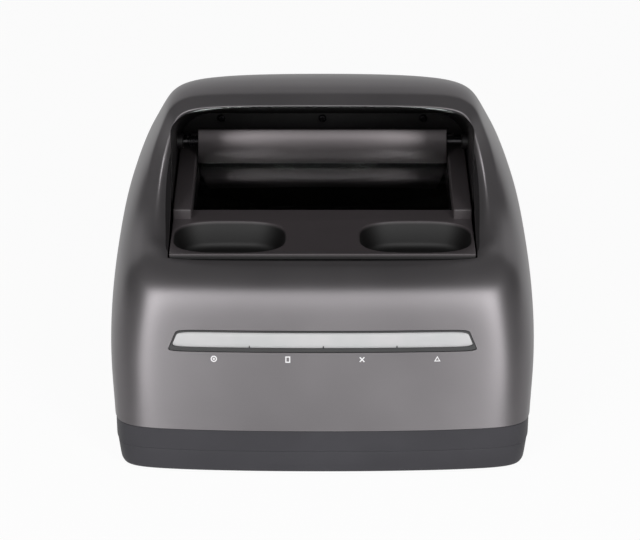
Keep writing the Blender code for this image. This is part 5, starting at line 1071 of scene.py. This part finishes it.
def light_bar():
    bezel = bar_body("bar_surround", BEZEL_RIM, BEZEL_TOP, BEZEL_BOTTOM, BEZEL_PROUD, -BEZEL_THICKNESS)
    carve(bezel, [bar_body("surround_window", SEAT_GAP / 3, BAR_LENS_TOP + SEAT_GAP / 3, -BAR_LENS_TOP - SEAT_GAP / 3,
                           OVERRUN, -BEZEL_THICKNESS - OVERRUN)])
    black = grained_plastic("satin_black_abs", "#2b2b2c", "#333334", 0.45, 0.4 * MM)
    dress(bezel, black, "reader", "light_bar_bezel")
    lens = bar_body("light_guide", 0, BAR_LENS_TOP, -BAR_LENS_TOP, -LENS_DEPTH, -LENS_DEPTH - LENS_THICKNESS, LENS_CROWN)
    dress(lens, milky_acrylic(), "reader", "status_lens")
    notches = []
    for middle in SEGMENT_NOTCHES:
        corners = [(middle - NOTCH_WIDTH / 2, 0), (middle + NOTCH_WIDTH / 2, 0),
                   (middle + NOTCH_WIDTH / 4, NOTCH_HEIGHT), (middle - NOTCH_WIDTH / 4, NOTCH_HEIGHT)]
        notches.append(lofted("segment_notch", [[on_face(x, -BAR_LENS_TOP + up, out) for x, up in corners]
                                                for out in (-LENS_DEPTH - LENS_CROWN, BEZEL_PROUD)]))
    first = notches[0]
    carve(first, notches[1:], "UNION")
    first.name = "segment_notches"
    dress(first, black, "reader")


light_bar()

# Printed marks
# Four small plain marks, screen printed in white under the light bar's segments: a disc in a ring, a
# page outline, a cross and a triangle.
MARK_DROP = -8.5 * MM
MARK_PROUD = 0.02 * MM
MARK_SIZE = 3.0 * MM
MARK_LINE = 0.55 * MM
MARK_PLACES = (-51.0 * MM, -16.3 * MM, 18.5 * MM, 53.8 * MM)


def mark_loops(kind):
    """Give a mark's filled outlines as loops of (x, up) places round its middle."""
    half = MARK_SIZE / 2
    inner = half - MARK_LINE
    if kind == "ring":
        circle = [(math.cos(math.tau * step / 36), math.sin(math.tau * step / 36)) for step in range(36)]
        return [([(x * half, y * half) for x, y in circle], [(x * inner, y * inner) for x, y in circle]),
                ([(x * half * 0.35, y * half * 0.35) for x, y in circle], None)]
    if kind == "page":
        wide = half * 0.78
        outer = [(-wide, -half), (wide, -half), (wide, half), (-wide, half)]
        return [(outer, [(math.copysign(abs(x) - MARK_LINE, x), math.copysign(abs(y) - MARK_LINE, y)) for x, y in outer])]
    if kind == "cross":
        arm = MARK_LINE / 2 * math.sqrt(2)
        reach = half * 0.85
        return [([(-reach, -reach + arm), (-reach + arm, -reach), (0, -arm), (reach - arm, -reach),
                  (reach, -reach + arm), (arm, 0), (reach, reach - arm), (reach - arm, reach), (0, arm),
                  (-reach + arm, reach), (-reach, reach - arm), (-arm, 0)], None)]
    outer = [(-half, -half * 0.85), (half, -half * 0.85), (0, half * 0.9)]
    return [(outer, [(x * 0.52, y * 0.52 - half * 0.13) for x, y in outer])]


def inked(name, shapes, place, out):
    """Lay printed shapes, each an outline with or without a hole, on a surface that faces out."""
    corners, faces = [], []
    for outer, inner in shapes:
        start = len(corners)
        count = len(outer)
        corners += [place(across, up) for across, up in outer + (inner or [])]
        if inner:
            faces += [(start + step, start + (step + 1) % count, start + count + (step + 1) % count,
                       start + count + step) for step in range(count)]
        else:
            faces.append(tuple(range(start, start + count)))
    mesh = bpy.data.meshes.new(name)
    mesh.from_pydata([tuple(corner) for corner in corners], [], faces)
    work = bmesh.new()
    work.from_mesh(mesh)
    for face in work.faces:
        if face.normal.dot(out) < 0:
            face.normal_flip()
    work.to_mesh(mesh)
    work.free()
    marks = bpy.data.objects.new(name, mesh)
    bpy.context.scene.collection.objects.link(marks)
    return marks


def mark_place(across, up):
    """Give a printed mark's place on the painted face."""
    height = FACE_LOW.z + (MARK_DROP + up + BAR_LENS_HEIGHT) * FACE_UP.z
    return face_place(across, height) + FACE_OUT * MARK_PROUD


def moved(loop, across):
    return loop and [(x + across, up) for x, up in loop]


WHITE_INK = grained_plastic("screen_printed_white_ink", "#e4e2e3", "#f0eff0", 0.5, 0.2 * MM, 0.005 * MM)
mark_shapes = [(moved(outer, middle), moved(inner, middle))
               for middle, kind in zip(MARK_PLACES, ("ring", "page", "cross", "triangle"))
               for outer, inner in mark_loops(kind)]
dress(inked("printed_marks", mark_shapes, mark_place, FACE_OUT), WHITE_INK, "reader")

# Boards and cables
# Fibreglass boards under green solder mask, with their copper tracks showing through, two white ones
# that light the document from the sides, an amber film ribbon and a grey flat lead.


def refinish(material, *nodes):
    """Give solids of the frame, whose shape is right, their real finish."""
    for node in nodes:
        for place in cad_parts[node].material_slots:
            place.material = material


def solder_mask(name, mask, track, pitch):
    """Solder mask: glossy lacquer over copper, whose tracks show as paler raised lines."""
    material, tree = new_material(name)
    coords = add_node(tree, "ShaderNodeTexCoord").outputs["Object"]
    tracks = add_node(tree, "ShaderNodeTexBrick", {"Color1": linear(mask), "Color2": linear(mask), "Mortar": linear(track),
                                                   "Scale": 1 / pitch, "Mortar Size": 0.06, "Brick Width": 2.3,
                                                   "Row Height": 0.6}, {"Vector": coords})
    bump = add_node(tree, "ShaderNodeBump", {"Strength": 0.3, "Distance": 0.03 * MM}, {"Height": tracks.outputs["Fac"]})
    dust = add_node(tree, "ShaderNodeTexNoise", {"Scale": 1 / (6 * MM)}, {"Vector": coords})
    rough = add_node(tree, "ShaderNodeMapRange", {"To Min": 0.25, "To Max": 0.4}, {"Value": dust.outputs["Fac"]})
    shader = add_node(tree, "ShaderNodeBsdfPrincipled", {"IOR": 1.55},
                      {"Base Color": tracks.outputs["Color"], "Roughness": rough.outputs["Result"],
                       "Normal": bump.outputs["Normal"]})
    add_node(tree, "ShaderNodeOutputMaterial", links={"Surface": shader.outputs["BSDF"]})
    return material


def flat_cable(name, jacket, conductor, pitch):
    """Flat cable: a smooth jacket over parallel conductors, which show as stripes across its width."""
    material, tree = new_material(name)
    coords = add_node(tree, "ShaderNodeTexCoord").outputs["Object"]
    cores = add_node(tree, "ShaderNodeTexWave", {"Scale": math.tau / 20 / pitch, "Distortion": 0.0}, {"Vector": coords},
                     bands_direction="X")
    tint = add_node(tree, "ShaderNodeValToRGB", links={"Fac": cores.outputs["Fac"]})
    tint.color_ramp.elements[0].position = 0.4
    tint.color_ramp.elements[0].color = linear(jacket)
    tint.color_ramp.elements[1].position = 0.6
    tint.color_ramp.elements[1].color = linear(conductor)
    bump = add_node(tree, "ShaderNodeBump", {"Strength": 0.3, "Distance": 0.05 * MM}, {"Height": cores.outputs["Fac"]})
    shader = add_node(tree, "ShaderNodeBsdfPrincipled", {"Roughness": 0.38, "IOR": 1.6},
                      {"Base Color": tint.outputs["Color"], "Normal": bump.outputs["Normal"]})
    add_node(tree, "ShaderNodeOutputMaterial", links={"Surface": shader.outputs["BSDF"]})
    return material


refinish(solder_mask("green_solder_mask", "#0f4a2c", "#1d6a42", 3 * MM), "antenna_board", "camera_board",
         "main_board", "io_board", "indicator_board")
refinish(solder_mask("white_solder_mask", "#d9d9d4", "#c6c4b8", 3 * MM), "light_board_right", "light_board_left")
refinish(flat_cable("amber_polyimide_film", "#a86a22", "#8a5318", 1 * MM), "camera_ribbon")
refinish(flat_cable("grey_vinyl_flat_lead", "#8d8e90", "#7c7d7f", 1.27 * MM), "indicator_cable")

# Optics
# A box of glass filled black nylon under the platen, whose back leans behind a front silvered mirror
# in two spring steel clips. The camera looks back at it from an aluminium bracket through a hood.


def silvered_mirror():
    """Front silvered glass: a bright, almost perfect mirror with a trace of dust."""
    material, tree = new_material("front_silvered_glass")
    coords = add_node(tree, "ShaderNodeTexCoord").outputs["Object"]
    dust = add_node(tree, "ShaderNodeTexNoise", {"Scale": 1 / (0.6 * MM), "Detail": 4.0}, {"Vector": coords})
    rough = add_node(tree, "ShaderNodeMapRange", {"From Min": 0.55, "From Max": 0.8, "To Min": 0.02, "To Max": 0.2},
                     {"Value": dust.outputs["Fac"]})
    shader = add_node(tree, "ShaderNodeBsdfPrincipled", {"Base Color": linear("#eff1f2"), "Metallic": 1.0},
                      {"Roughness": rough.outputs["Result"]})
    add_node(tree, "ShaderNodeOutputMaterial", links={"Surface": shader.outputs["BSDF"]})
    return material


refinish(grained_plastic("glass_filled_black_nylon", "#101011", "#1a1a1b", 0.7, 0.7 * MM, 0.04 * MM, 0.4),
         "optics_housing", "camera_hood")
refinish(silvered_mirror(), "fold_mirror")
refinish(worked_metal("rolled_spring_steel", "#7c7c7e", "#8e8e90", 0.35, 0.4 * MM, (1, 0.1, 0.1)),
         "mirror_clip_right", "mirror_clip_left")
refinish(worked_metal("brushed_aluminium", "#a9aaac", "#c0c1c3", 0.38, 0.3 * MM, (0.05, 1, 1)), "camera_bracket")
refinish(worked_metal("black_anodised_aluminium", "#1b1b1c", "#252526", 0.38, 0.25 * MM), "lens_barrel")
refinish(grained_plastic("closed_cell_foam_rubber", "#131313", "#1b1b1b", 0.9, 0.6 * MM, 0.08 * MM, 0.6), "platen_gasket")
refinish(grained_plastic("moulded_white_abs", "#d2d2d0", "#dddddb", 0.5, 0.6 * MM), "light_divider")

# Rear connectors
# A black ABS plate let into the base's back wall carries a square data socket in a steel shell, a
# round power inlet with a plated pin, and a rocker switch that tips between a bar and a ring.
USB_SHELL = 0.5 * MM
USB_CLIP = 1.7 * MM
USB_MOUTH = 10.6 * MM
USB_TONGUE = (2.9 * MM, 1.7 * MM)
USB_TONGUE_SETBACK = 1.2 * MM
CONTACT_SIZE = (1.0 * MM, 6.5 * MM, 0.16 * MM)
CONTACT_SPREAD = 1.25 * MM
INLET_BORE = 3.1 * MM
INLET_PIN = 0.8 * MM
INLET_MOUTH = 9.75 * MM
SWITCH_FLANGE = 1.2 * MM
ROCKER_PLAY = 0.6 * MM
ROCKER_EDGE = 3.3 * MM
ROCKER_MIDDLE = 2.2 * MM
ROCKER_MARK_SIDE = 4.7 * MM
ROCKER_BAR = (0.35 * MM, 1.6 * MM)


def grown_box(name, box, grow, front, back):
    """Make a box as wide and high as a piece's box, grown on those sides, between two depths."""
    return block(name, (box[0][0] - grow, front, box[0][2] - grow), (box[1][0] + grow, back, box[1][2] + grow))


def usb_outline(box, inset, y):
    """Give the square socket's outline at a depth: its two upper corners are clipped."""
    left, right = box[0][0] + inset, box[1][0] - inset
    low, high = box[0][2] + inset, box[1][2] - inset
    return [(left, y, low), (right, y, low), (right, y, high - USB_CLIP), (right - USB_CLIP, y, high),
            (left + USB_CLIP, y, high), (left, y, high - USB_CLIP)]


def contact_tree(gold):
    """Lay a flat plated contact at each place."""
    tree = bpy.data.node_groups.new("plated_contact", "GeometryNodeTree")
    tree.interface.new_socket("Geometry", in_out="INPUT", socket_type="NodeSocketGeometry")
    tree.interface.new_socket("Size", in_out="INPUT", socket_type="NodeSocketVector")
    tree.interface.new_socket("Geometry", in_out="OUTPUT", socket_type="NodeSocketGeometry")
    given = add_node(tree, "NodeGroupInput").outputs
    strip = add_node(tree, "GeometryNodeMeshCube", links={"Size": given["Size"]})
    placed = add_node(tree, "GeometryNodeInstanceOnPoints", links={"Points": given["Geometry"],
                                                                   "Instance": strip.outputs["Mesh"]})
    solid = add_node(tree, "GeometryNodeRealizeInstances", links={"Geometry": placed.outputs["Instances"]})
    named = add_node(tree, "GeometryNodeSetMaterial", {"Material": gold}, {"Geometry": solid.outputs["Geometry"]})
    add_node(tree, "NodeGroupOutput", links={"Geometry": named.outputs["Geometry"]})
    return tree


def rear_connectors():
    panel_box, usb_box, inlet_box, switch_box = [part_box(node) for node in
                                                 ("rear_panel", "usb_socket", "power_inlet", "switch_body")]
    black = grained_plastic("moulded_black_abs", "#1b1b1c", "#242425", 0.5, 0.5 * MM)
    panel = rounded(block("connector_plate", *panel_box), 0.2 * MM)
    through = (panel_box[0][1] - OVERRUN, panel_box[1][1] + OVERRUN)
    carve(panel, [grown_box("usb_hole", usb_box, SEAT_GAP, *through),
                  grown_box("inlet_hole", inlet_box, SEAT_GAP, *through),
                  grown_box("switch_hole", switch_box, SEAT_GAP - SWITCH_FLANGE, *through)])
    dress(panel, black, "reader", "rear_panel")

    usb_front, usb_end = usb_box[0][1], usb_box[1][1]
    shell = lofted("usb_shell", [usb_outline(usb_box, 0, usb_front), usb_outline(usb_box, 0, usb_end)])
    carve(shell, [lofted("usb_hollow", [usb_outline(usb_box, USB_SHELL, usb_end - USB_MOUTH),
                                        usb_outline(usb_box, USB_SHELL, usb_end + OVERRUN)])])
    dress(shell, worked_metal("tin_plated_steel", "#9c9c9c", "#b3b3b3", 0.3, 0.35 * MM, (1, 0.1, 1)), "reader", "usb_socket")
    middle = Vector(((usb_box[0][0] + usb_box[1][0]) / 2, 0, (usb_box[0][2] + usb_box[1][2]) / 2))
    tongue = rounded(block("usb_tongue", (middle.x - USB_TONGUE[0], usb_end - USB_MOUTH, middle.z - USB_TONGUE[1]),
                           (middle.x + USB_TONGUE[0], usb_end - USB_TONGUE_SETBACK, middle.z + USB_TONGUE[1])), 0.3 * MM)
    dress(tongue, grained_plastic("moulded_ivory_nylon", "#cfcabd", "#dad5c9", 0.4, 0.5 * MM), "reader")
    gold = worked_metal("gold_plated_bronze", "#c39a45", "#d8b262", 0.25, 0.2 * MM)
    depth = usb_end - USB_TONGUE_SETBACK - CONTACT_SIZE[1] * 0.7
    places = [(middle.x + side * CONTACT_SPREAD, depth, middle.z + rise * USB_TONGUE[1])
              for side in (-1, 1) for rise in (-1, 1)]
    contacts = grown("usb_contacts", contact_tree(gold), places, Size=CONTACT_SIZE)
    dress(contacts, gold, "reader")

    inlet = rounded(block("inlet_body", *inlet_box), 0.25 * MM)
    centre = ((inlet_box[0][0] + inlet_box[1][0]) / 2, 0, (inlet_box[0][2] + inlet_box[1][2]) / 2)
    mouth = inlet_box[1][1] - INLET_MOUTH
    carve(inlet, [turned("inlet_bore", [(INLET_BORE, mouth), (INLET_BORE, inlet_box[1][1] - 0.3 * MM),
                                        (INLET_BORE + 0.5 * MM, inlet_box[1][1] + 0.2 * MM)], centre, "Y", 48)])
    dress(inlet, black, "reader", "power_inlet")
    pin_end = inlet_box[1][1] - 1 * MM
    pin = turned("inlet_pin", [(INLET_PIN, mouth - 1 * MM), (INLET_PIN, pin_end - 0.6 * MM),
                               (INLET_PIN * 0.8, pin_end - 0.2 * MM), (INLET_PIN * 0.4, pin_end)], centre, "Y")
    dress(pin, worked_metal("nickel_plated_brass", "#a9a59c", "#beb9af", 0.22, 0.2 * MM), "reader")

    flange_low = switch_box[1][1] - SWITCH_FLANGE
    body = rounded(block("switch_flange", (switch_box[0][0], flange_low, switch_box[0][2]), switch_box[1]), 0.45 * MM)
    carve(body, [grown_box("switch_neck", switch_box, -SWITCH_FLANGE, switch_box[0][1], flange_low + SWITCH_FLANGE / 2)],
          "UNION")
    rocker_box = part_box("power_rocker")
    carve(body, [grown_box("switch_well", rocker_box, ROCKER_PLAY, switch_box[0][1] + 6 * MM, switch_box[1][1] + OVERRUN)])
    dress(body, black, "reader", "switch_body")

    middle_x = (rocker_box[0][0] + rocker_box[1][0]) / 2
    middle_z = (rocker_box[0][2] + rocker_box[1][2]) / 2
    half = (rocker_box[1][0] - rocker_box[0][0]) / 2
    axis_y = rocker_box[1][1] - ROCKER_EDGE

    def rocker_face(across):
        return ROCKER_MIDDLE + (ROCKER_EDGE - ROCKER_MIDDLE) * abs(across / half) ** 1.5

    front = [(across, rocker_face(across)) for across in np.linspace(-half, half, 21)]
    under = [(half * 5 / 6, 0), (half / 4, -ROCKER_MIDDLE), (-half / 4, -ROCKER_MIDDLE), (-half * 5 / 6, 0)]
    rocker = lofted("tipping_rocker", [[(middle_x + across, axis_y + out, z) for across, out in front + under]
                                       for z in (rocker_box[0][2], rocker_box[1][2])])
    rounded(rocker, 0.3 * MM)
    dress(rocker, grained_plastic("polished_black_nylon", "#151516", "#1b1b1c", 0.22, 2 * MM, 0.01 * MM, 0.1),
          "rocker", "power_rocker")

    def rocker_place(across, up):
        return Vector((middle_x + across, axis_y + rocker_face(across) + MARK_PROUD, middle_z + up))

    side, rise = ROCKER_BAR
    bar = ([(-side, -rise), (side, -rise), (side, rise), (-side, rise)], None)
    ring = mark_loops("ring")[0]
    shapes = [(moved(bar[0], ROCKER_MARK_SIDE), None),
              (moved(ring[0], -ROCKER_MARK_SIDE), moved(ring[1], -ROCKER_MARK_SIDE))]
    dress(inked("rocker_marks", shapes, rocker_place, Vector((0, 1, 0))), WHITE_INK, "rocker")


rear_connectors()

# Rating plate
# A blank label of silver grey polyester film with rounded corners, stuck under the base.
PLATE_CORNER = 2 * MM


def rating_plate():
    low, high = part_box("rating_plate")
    outline = []
    for step in range(32):
        angle = math.tau * (step + 0.5) / 32
        across, along = math.cos(angle), math.sin(angle)
        outline.append((math.copysign(high[0] - PLATE_CORNER, across) + PLATE_CORNER * across,
                        math.copysign(high[1] - PLATE_CORNER, along) + PLATE_CORNER * along))
    plate = lofted("polyester_plate", [[(x, y, z) for x, y in outline] for z in (low[2], high[2])])
    dress(plate, worked_metal("silver_polyester_film", "#a3a4a6", "#adaeb0", 0.5, 0.3 * MM, (0.1, 1, 1), 0.05),
          "reader", "rating_plate")


rating_plate()
